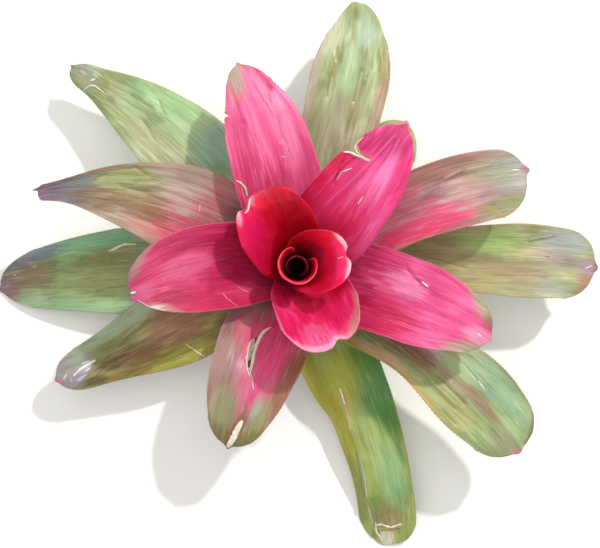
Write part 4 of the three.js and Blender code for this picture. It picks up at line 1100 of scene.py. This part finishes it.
def rib_noise(tree, across, along, number, fine, stretch, detail):
    """Noise that runs with the ribs; the number gives each leaf a place of its own in it."""
    place = add_node(tree, "ShaderNodeCombineXYZ", {
        0: maths(tree, "MULTIPLY", across, fine), 1: maths(tree, "MULTIPLY", along, stretch),
        2: number * RIB_PLACE_STEP})
    return noise_value(tree, place.outputs[0], 1.0, detail, roughness=0.6)


def stretched_noise(tree, place, wide, long, detail):
    """Noise whose spots have the given size across and along the leaf, in centimetres."""
    sized = vector_maths(tree, "DIVIDE", place, (wide, long, 1))
    return noise_value(tree, sized, 1.0, detail, roughness=0.55, distortion=0.3)


def finish(tree, output, colour, roughness, height, bump_depth, through):
    """The shader: a waxy surface with a fine bump, that lets a little light through."""
    bump = add_node(tree, "ShaderNodeBump", {"Strength": 1.0, "Distance": bump_depth * MM, "Height": height})
    inputs = {"Base Color": colour, "Roughness": roughness, "Normal": bump.outputs["Normal"],
              "Specular IOR Level": 0.3, "Coat Weight": 0.1, "Coat Roughness": 0.25,
              "Subsurface Weight": through, "Subsurface Radius": (1.0, 0.3, 0.25),
              "Subsurface Scale": 0.002}
    shader = add_node(tree, "ShaderNodeBsdfPrincipled", inputs)
    tree.links.new(shader.outputs["BSDF"], output.inputs["Surface"])


print("rib noise moves on by", RIB_PLACE_STEP, "from leaf to leaf")

# %% [markdown]
# ## Layers of paint on the upper face
#
# Each layer is a small function that takes the colour so far and gives the next one, as coats of
# paint follow each other. A tone is written as the value at which it starts to show, the value
# at which it shows fully, and how strongly it does. The commonest layer is in two tones: where a
# noise is high it mixes in the leaf's light colour, and where it is low the dark one.

# %% Layers of paint
Tone = namedtuple("Tone", "start full most")
CLOUDS = (Tone(0.5, 0.66, 0.8), Tone(0.48, 0.34, 0.7))
FLECKS = (Tone(0.52, 0.72, 0.4), Tone(0.48, 0.3, 0.4))
STREAKS = (Tone(0.54, 0.72, 0.6), Tone(0.46, 0.3, 0.5))
RIBS = (Tone(0.54, 0.7, 0.3), Tone(0.46, 0.3, 0.3))
Specks = namedtuple("Specks", "density rarity colour")
RED_SPECKS, GREEN_SPECKS = Specks(1.1, 0.62, "5A1A2C"), Specks(1.6, 0.5, "5E2A28")
SPECK = Tone(0.075, 0.035, 0.7)
CLOUD_SHADE, GRAIN_SHADE = (0.92, 1.07), (0.95, 1.05)
FRAY_REACH, EDGE_SPREAD = 4, 1.7


def tone_share(tree, value, tone, strength=1.0):
    """How much of a tone shows at a value."""
    return step_between(tree, value, tone.start, tone.full, 0, tone.most * strength)


def two_tones(tree, colour, look, value, tones, strength, shown=1.0):
    """Mixes in the light colour where the value is high, and the dark one where it is low."""
    for tone, code in zip(tones, (look.light, look.dark)):
        share = tone_share(tree, value, tone, strength)
        colour = colour_mix(tree, maths(tree, "MULTIPLY", share, shown), colour, tint(code))
    return colour


def add_washes(tree, colour, look, across, along, reach, ragged):
    """Lays on the washes; those at the end of the leaf are placed by its reach."""
    for wash in look.washes:
        inputs = {"Across": across, "Along": reach if wash.t == 1 else along, "Streak": ragged,
                  "X": wash.x, "T": wash.t, "Wide": wash.wide, "Long": wash.long,
                  "Fray": FRAY_REACH * wash.fray}
        mask = add_node(tree, "ShaderNodeGroup", inputs, node_tree=WASH).outputs[0]
        colour = colour_mix(tree, maths(tree, "MULTIPLY", mask, wash.strength), colour, tint(wash.colour))
    return colour


def vary_brightness(tree, colour, cloud, grain):
    """Makes the colour a little brighter and darker from place to place."""
    shade = maths(tree, "MULTIPLY", step_between(tree, cloud, *NOISE_MOST, *CLOUD_SHADE),
                  step_between(tree, grain, *NOISE_MOST, *GRAIN_SHADE))
    grey = add_node(tree, "ShaderNodeCombineColor", {0: shade, 1: shade, 2: shade}).outputs[0]
    return colour_mix(tree, 1.0, colour, grey, "MULTIPLY")


def add_specks(tree, colour, specks, place):
    """Small dark spots in the middle of some cells of a Voronoi pattern, picked by lot."""
    cells = add_node(tree, "ShaderNodeTexVoronoi", {"Vector": place, "Scale": specks.density},
                     feature="F1").outputs
    lot = add_node(tree, "ShaderNodeSeparateColor", {0: cells["Color"]}).outputs[0]
    picked = maths(tree, "GREATER_THAN", lot, specks.rarity)
    spot = maths(tree, "MULTIPLY", tone_share(tree, cells["Distance"], SPECK), picked)
    return colour_mix(tree, spot, colour, tint(specks.colour))


def add_scratches_and_painted_light(tree, colour, number, look, place):
    """Draws the scratches and the lines of painted shade and highlight, each on a wider one in the colour of
    its edge, if it has an edge.
    """
    leaf = LEAVES[number - 1]
    for mark in look.scratches:
        ends = [(x * float(half_width(leaf, t)) / MM_IN_CM, t * leaf.length / MM_IN_CM, number)
                for x, t in ((mark.x0, mark.t0), (mark.x1, mark.t1))]
        for width, code in ((EDGE_SPREAD * mark.width, mark.edge), (mark.width, mark.colour)):
            if code:
                inputs = {"Place": place, "From": ends[0], "To": ends[1], "Width": width,
                          "Core": mark.core}
                mask = add_node(tree, "ShaderNodeGroup", inputs, node_tree=SCRATCH_AND_PAINTED_LIGHT).outputs[0]
                colour = colour_mix(tree, mask, colour, tint(code))
    return colour


print("strongest light tone:", max(tones[0].most for tones in (CLOUDS, FLECKS, STREAKS, RIBS)))

# %% [markdown]
# ## The three paints of a leaf
#
# The upper face gets all the layers, from the clouds to the scratches and the lines of painted
# shade and highlight. Its streaks are fainter where the clouds are dark, and where a tear has
# dried it turns cream. The underside is duller, and crossed by faint silvery bands of scale
# hairs, which show most on the green leaves. The rim takes the margin's colour, and straw where
# it is dry. Most light goes through the upper faces of the heart, whose leaves are the most
# tender.

# %% Paints for one leaf
STRAW, SCALE_HAIRS = "D8BE8C", "C8CCBE"
HEART_THROUGH, BLADE_THROUGH = 0.5, 0.3
MARGIN, RED_BANDS, GREEN_BANDS = Tone(0.965, 1.0, 0.6), Tone(0.5, 0.7, 0.1), Tone(0.5, 0.7, 0.35)
FADING_CLOUD, FAINTEST_STREAKS = (0.36, 0.6), 0.25
DRYING_GRAIN, LEAST_DRIED = (0.2, 0.6), 0.7
UPPER_ROUGHNESS = (0.29, 0.42)
UNDER_STREAKS_PLACE, UNDER_BANDS_PLACE = 50, 70


def paint_upper(number, look):
    material, tree, output = new_material(f"leaf_{number:02d}_upper")
    across, along, reach, dry, place = leaf_values(tree)
    streak = rib_noise(tree, across, along, number, fine=12.0, stretch=3.6, detail=4.0)
    ribs = rib_noise(tree, across, along, number, fine=46.0, stretch=5.0, detail=2.0)
    cloud = stretched_noise(tree, place, wide=1.2, long=3.4, detail=2.0)
    fleck = stretched_noise(tree, place, wide=0.15, long=1.6, detail=3.0)
    grain = noise_value(tree, place, scale=16.0, detail=3.0)
    ragged = weighted(tree, (fleck, 0.35), (streak, 0.65))
    shown = step_between(tree, cloud, *FADING_CLOUD, FAINTEST_STREAKS, 1.0)
    colour = two_tones(tree, tint(look.ground), look, cloud, CLOUDS, look.mottle)
    colour = add_washes(tree, colour, look, across, along, reach, ragged)
    colour = two_tones(tree, colour, look, fleck, FLECKS, look.mottle)
    colour = two_tones(tree, colour, look, streak, STREAKS, look.streaks, shown)
    colour = two_tones(tree, colour, look, ribs, RIBS, look.streaks)
    colour = vary_brightness(tree, colour, cloud, grain)
    edge = tone_share(tree, maths(tree, "ABSOLUTE", across), MARGIN)
    colour = colour_mix(tree, edge, colour, tint(look.margin))
    colour = add_specks(tree, colour, GREEN_SPECKS if number > LAST_PINK else RED_SPECKS, place)
    colour = add_scratches_and_painted_light(tree, colour, number, look, place)
    patchy = step_between(tree, grain, *DRYING_GRAIN, LEAST_DRIED, 1.0)
    colour = colour_mix(tree, maths(tree, "MULTIPLY", dry, patchy), colour, tint(CREAM))
    roughness = step_between(tree, cloud, *NOISE_MOST, *UPPER_ROUGHNESS)
    height = weighted(tree, (grain, 0.2), (ribs, 0.8), (streak, 1.6), (fleck, 0.6))
    through = HEART_THROUGH if number <= LAST_HEART else BLADE_THROUGH
    finish(tree, output, colour, roughness, height, bump_depth=0.5, through=through)
    return material


def paint_under(number, look):
    material, tree, output = new_material(f"leaf_{number:02d}_under")
    across, along, *_, place = leaf_values(tree)
    streak = rib_noise(tree, across, along, number + UNDER_STREAKS_PLACE, fine=14.0, stretch=3.0,
                       detail=3.0)
    bands = rib_noise(tree, across, along, number + UNDER_BANDS_PLACE, fine=1.2, stretch=26.0,
                      detail=2.0)
    grain = noise_value(tree, place, scale=20.0, detail=3.0)
    streaked = step_between(tree, streak, *NOISE_MIDDLE)
    colour = colour_mix(tree, streaked, tint(look.under), tint(look.ground))
    shown = tone_share(tree, bands, GREEN_BANDS if number > LAST_PINK else RED_BANDS)
    colour = colour_mix(tree, shown, colour, tint(SCALE_HAIRS))
    height = maths(tree, "ADD", streak, grain)
    finish(tree, output, colour, roughness=0.55, height=height, bump_depth=0.22, through=0.3)
    return material


def paint_rim(number, look):
    material, tree, output = new_material(f"leaf_{number:02d}_rim")
    *_, dry, place = leaf_values(tree)
    grain = noise_value(tree, place, scale=9.0, detail=2.0)
    grainy = step_between(tree, grain, *NOISE_MIDDLE)
    fresh = colour_mix(tree, grainy, tint(look.margin), tint(look.ground))
    colour = colour_mix(tree, dry, fresh, tint(STRAW))
    finish(tree, output, colour, roughness=0.5, height=grain, bump_depth=0.1, through=0.08)
    return material


PAINTS = (paint_upper, paint_under, paint_rim)
print("paints of a leaf:", len(PAINTS))

# %% [markdown]
# ## The twenty leaves
#
# With the maker and the paints at hand, one short loop makes the plant. The leaves could share
# one material, but then they would all have the same washes, so each gets three of its own. A
# small function tells which kind of leaf a number is: of the heart, pink or green; it picks the
# paint of the dried strips.

# %% Make and paint the twenty leaves
def slot_of(number):
    if number <= LAST_HEART:
        return "heart_leaf"
    return "pink_leaf" if number <= LAST_PINK else "green_leaf"


for number, look in LOOKS.items():
    piece = make_leaf(number, [paint(number, look) for paint in PAINTS])

# %% [markdown]
# ## Dried strips
#
# Where a leaf was torn or scraped, a thin strip of its skin has come loose, rolled up and dried to
# cream and tan, with browner edges. Each strip could be a curve with a bevel, but a real one is
# open below, so it is a small grid that follows a path of places, x and t, on its leaf. It is
# arched across, narrow at both ends and a little uneven, and lies just on the leaf's upper face.

# %% Paths of the dried strips
Strip = namedtuple("Strip", "leaf width rise path")
STRIPS = [
    Strip(4, 0.8, 0.5, [(0.2, 0.985), (0.28, 0.962), (0.36, 0.94), (0.48, 0.935)]),
    Strip(6, 1.5, 0.9, [(0.99, 0.77), (0.8, 0.787), (0.63, 0.79), (0.45, 0.796), (0.22, 0.803)]),
    Strip(6, 0.8, 0.6, [(0.55, 0.797), (0.76, 0.803), (0.88, 0.815), (0.94, 0.835), (0.96, 0.87)]),
    Strip(9, 1.3, 0.9, [(0.96, 0.53), (0.88, 0.517), (0.81, 0.492), (0.79, 0.469), (0.79, 0.44)]),
    Strip(10, 2.2, 0.6, [(0.03, 0.33), (-0.06, 0.357), (-0.12, 0.39), (-0.14, 0.44), (-0.13, 0.5),
                         (-0.1, 0.54), (-0.07, 0.575), (-0.05, 0.615)]),
    Strip(10, 1.0, 0.6, [(-0.25, 0.45), (-0.27, 0.491), (-0.25, 0.53), (-0.21, 0.565), (-0.13, 0.6),
                         (0.0, 0.63)]),
    Strip(10, 4.4, 1.3, [(0.17, 0.83), (0.12, 0.87), (0.06, 0.92), (-0.03, 0.96), (-0.12, 0.99)]),
    Strip(17, 1.1, 0.9, [(0.93, 0.906), (0.62, 0.897), (0.35, 0.886), (0.22, 0.872), (0.24, 0.86),
                         (0.25, 0.843), (0.28, 0.826)]),
    Strip(18, 1.7, 0.8, [(-0.3, 0.9), (-0.1, 0.893), (0.1, 0.9), (0.3, 0.897), (0.56, 0.886)]),
    Strip(18, 1.2, 0.7, [(-0.3, 0.885), (-0.3, 0.92), (-0.22, 0.945), (-0.1, 0.975)]),
    Strip(20, 1.7, 0.8, [(-0.5, 0.56), (-0.52, 0.543), (-0.58, 0.526), (-0.62, 0.5), (-0.59, 0.46)]),
]
print("strips:", len(STRIPS), "widest:", max(strip.width for strip in STRIPS), "mm")

# %% [markdown]
# ## Making and painting a strip
#
# The grid's second direction becomes the way along the path, and its first one the way across
# it. The leaf's own sheet says where they lead: the way up is its normal, and the way across is
# at right angles to that and to the way ahead. Solidify then makes the strip as thin as skin.
# Three materials serve all the strips, one for each kind of leaf, in the same colours.

# %% Strips
STRIP_COLUMNS, STRIP_ROWS, STRIP_THICKNESS = 8, 48, 0.25
STRIP_LIFT, STRIP_UNEVENNESS = 0.5, 0.3
BUMPS_ACROSS, BUMPS_ALONG, STRIP_PLACE_STEP = 0.8, 4, 50
NEAR_T, NEAR_X, PATH_STEP = 0.002, 0.01, 0.01
THINNEST = 0.01
DRY_PALE, DRY_TAN, DRY_BACK, DRY_EDGE = "FAF0E2", "E4D2B8", "CDB08C", "84543C"
BACK, EDGE, EDGE_WAVER = Tone(0.5, 0.1, 0.55), Tone(1.0, 1.25, 0.85), 0.6


def strip_places(strip, p):
    """The path as x and t at the shares p of its length, with its corners rounded."""
    marks = np.linspace(0, 1, len(strip.path))
    return [np.mean([np.interp(p + shift, marks, values) for shift in CORNER_SHIFTS], axis=0)
            for values in zip(*strip.path)]


def make_strip(strip, name, material):
    """One strip as a finished piece."""
    index = strip.leaf - 1
    bm = bmesh.new()
    bmesh.ops.create_grid(bm, x_segments=STRIP_COLUMNS, y_segments=STRIP_ROWS, size=1)
    flat = np.array([v.co[:2] for v in bm.verts])
    side, p = flat[:, 0], (flat[:, 1] + 1) / 2
    x, t = strip_places(strip, p)
    centre = sheet_point(index, t, x)
    up = unit(np.cross(sheet_point(index, t + NEAR_T, x) - centre,
                       sheet_point(index, t, x + NEAR_X) - centre))
    ahead_x, ahead_t = strip_places(strip, p + PATH_STEP)
    back_x, back_t = strip_places(strip, p - PATH_STEP)
    forward = sheet_point(index, ahead_t, ahead_x) - sheet_point(index, back_t, back_x)
    across = unit(np.cross(forward, up))
    taper = np.sqrt(np.clip(4 * p * (1 - p), THINNEST, 1))
    bumps = noise_at(side * BUMPS_ACROSS, p * BUMPS_ALONG, strip.path[0][1] * STRIP_PLACE_STEP)
    size = taper * (1 + STRIP_UNEVENNESS * bumps)
    sideways = side * strip.width / 2 * size
    height = relief(strip.leaf, t, x) + STRIP_LIFT + strip.rise * size * (1 - side**2)
    edge = bm.verts.layers.float.new("across")
    for i, v in enumerate(bm.verts):
        v.co = centre[i] + across[i] * sideways[i] + up[i] * height[i]
        v[edge] = side[i]
    bmesh.ops.recalc_face_normals(bm, faces=bm.faces)
    bmesh.ops.scale(bm, vec=(MM, MM, MM), verts=bm.verts)
    for face in bm.faces:
        face.smooth = True
    piece = add_object(name, bm)
    piece.data.materials.append(material)
    body = piece.modifiers.new("body", "SOLIDIFY")
    body.thickness, body.offset = STRIP_THICKNESS * MM, 0
    settle(piece)
    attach(piece, "root")


def paint_strip(name):
    """Cream skin with paler and darker patches, tan along its back and brown at its edges."""
    material, tree, output = new_material(name)
    place = add_node(tree, "ShaderNodeTexCoord").outputs["Object"]
    across = add_node(tree, "ShaderNodeAttribute", attribute_name="across").outputs["Fac"]
    patch = noise_value(tree, place, scale=500.0, detail=3.0)
    grain = noise_value(tree, place, scale=1800.0, detail=2.0)
    aside = maths(tree, "ABSOLUTE", across)
    rim = maths(tree, "ADD", aside, maths(tree, "MULTIPLY", patch, EDGE_WAVER))
    colour = colour_mix(tree, step_between(tree, patch, *NOISE_MIDDLE), tint(DRY_PALE), tint(DRY_TAN))
    colour = colour_mix(tree, tone_share(tree, aside, BACK), colour, tint(DRY_BACK))
    colour = colour_mix(tree, tone_share(tree, rim, EDGE), colour, tint(DRY_EDGE))
    height = maths(tree, "ADD", patch, grain)
    finish(tree, output, colour, roughness=0.6, height=height, bump_depth=0.06, through=0.2)
    return material


strip_paints = {slot: paint_strip(f"dried_{slot}") for slot in ("heart_leaf", "pink_leaf", "green_leaf")}
for count, strip in enumerate(STRIPS, 1):
    make_strip(strip, f"strip_{count:02d}", strip_paints[slot_of(strip.leaf)])

# %% [markdown]
# ## The stem
#
# A bromeliad's stem is short, fibrous and hidden by its leaves. Only its cut foot shows, from the
# side and from below: a pale round face with the dots of the fibres, in a brown bark that is
# ringed where old leaves have come away. It is turned, as on a lathe: its outline, half a section
# through the axis, is spun right round. The rings stay below the leaves, which sit close to it,
# and its crown between them is painted dark red as painted shade, so that nothing pale shows
# down in the heart.

# %% Stem
CUT_RADIUS, NECK_RADIUS, CUT_BEVEL, NECK_HEIGHT = 16, 17.2, 1.5, 4
STEM_STEPS, DOME_POINTS = 96, 24
RING_HEIGHT, RING_PITCH, RING_POINTS, RINGS_TOP = 0.3, 1.1, 6, 6
BARK_SCALES, CUT_DEPTH, CROWN_START = (120, 120, 900), (0.0004, 0.0001), (0.02, 0.03)
FIBRE_EDGE, BARK_ROUGHNESS = (0.35, 0.15), (0.7, 0.9)
SEAM_DISTANCE, LEVEL_FACE = 0.001, 0.99
# The last colour, for the crown, is painted shade deep in the heart; the others are the stem's own.
BARK_DARK, BARK_PALE, PITH, FIBRE, CROWN_SHADE = "5C4228", "9A7A50", "D9C79A", "8E6A3E", "4A1420"


def stem_outline():
    """Half a section through the stem as distances from its axis and heights, in millimetres."""
    angles = np.linspace(1, 0, DOME_POINTS) * math.pi / 2
    bulge = STEM_RADIUS * np.sin(angles[:-1])
    radii = [CUT_RADIUS, mix(CUT_RADIUS, NECK_RADIUS, 2 / 3), NECK_RADIUS, *bulge]
    heights = [0, CUT_BEVEL, NECK_HEIGHT, *(STEM_DOME_START + STEM_DOME_HEIGHT * np.cos(angles[:-1]))]
    low = np.arange(0, STEM_DOME_START, RING_PITCH / RING_POINTS)
    ring = 0.5 + 0.5 * np.cos(low / RING_PITCH * 2 * math.pi)
    ringed = np.interp(low, heights, radii) - RING_HEIGHT * ring
    outline = [(float(r), float(z)) for r, z in zip(ringed, low) if z < RINGS_TOP]
    outline += [(float(r), float(z)) for r, z in zip(radii, heights) if z >= STEM_DOME_START]
    return [(0, 0), *outline, (0, STEM_DOME_START + STEM_DOME_HEIGHT)]


def paint_stem():
    """Pale pith on the cut face, ringed brown bark above it, and dark red painted shade at the crown."""
    material, tree, output = new_material("stem")
    place = add_node(tree, "ShaderNodeTexCoord").outputs["Object"]
    bark = noise_value(tree, vector_maths(tree, "MULTIPLY", place, BARK_SCALES), scale=1.0, detail=4.0)
    grain = noise_value(tree, place, scale=900.0, detail=2.0)
    fibres = add_node(tree, "ShaderNodeTexVoronoi", {"Vector": place, "Scale": 700.0}).outputs["Distance"]
    height = add_node(tree, "ShaderNodeSeparateXYZ", {0: place}).outputs["Z"]
    brown = colour_mix(tree, step_between(tree, bark, *NOISE_MIDDLE), tint(BARK_DARK), tint(BARK_PALE))
    pith = colour_mix(tree, step_between(tree, fibres, *FIBRE_EDGE), tint(PITH), tint(FIBRE))
    face = step_between(tree, height, *CUT_DEPTH)
    # The crown is painted dark red as painted shade, so the bottom of the heart reads dark.
    crown_shade = step_between(tree, height, *CROWN_START)
    colour = colour_mix(tree, crown_shade, colour_mix(tree, face, brown, pith), tint(CROWN_SHADE))
    roughness = step_between(tree, grain, *NOISE_MOST, *BARK_ROUGHNESS)
    height = maths(tree, "ADD", bark, grain)
    finish(tree, output, colour, roughness, height, bump_depth=0.3, through=0.0)
    return material


bm = bmesh.new()
outline = [bm.verts.new((r, 0, z)) for r, z in stem_outline()]
edges = [bm.edges.new(pair) for pair in zip(outline, outline[1:])]
bmesh.ops.spin(bm, geom=outline + edges, axis=(0, 0, 1), cent=(0, 0, 0), steps=STEM_STEPS, angle=2 * math.pi,
               use_merge=True)
bmesh.ops.remove_doubles(bm, verts=bm.verts, dist=SEAM_DISTANCE)
bmesh.ops.recalc_face_normals(bm, faces=bm.faces)
bmesh.ops.scale(bm, vec=(MM, MM, MM), verts=bm.verts)
for face in bm.faces:
    face.smooth = abs(face.normal.z) < LEVEL_FACE
stem = add_object("cut_stem", bm)
stem.data.materials.append(paint_stem())
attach(stem, "root")
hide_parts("stem")
print("stem faces:", len(stem.data.polygons))
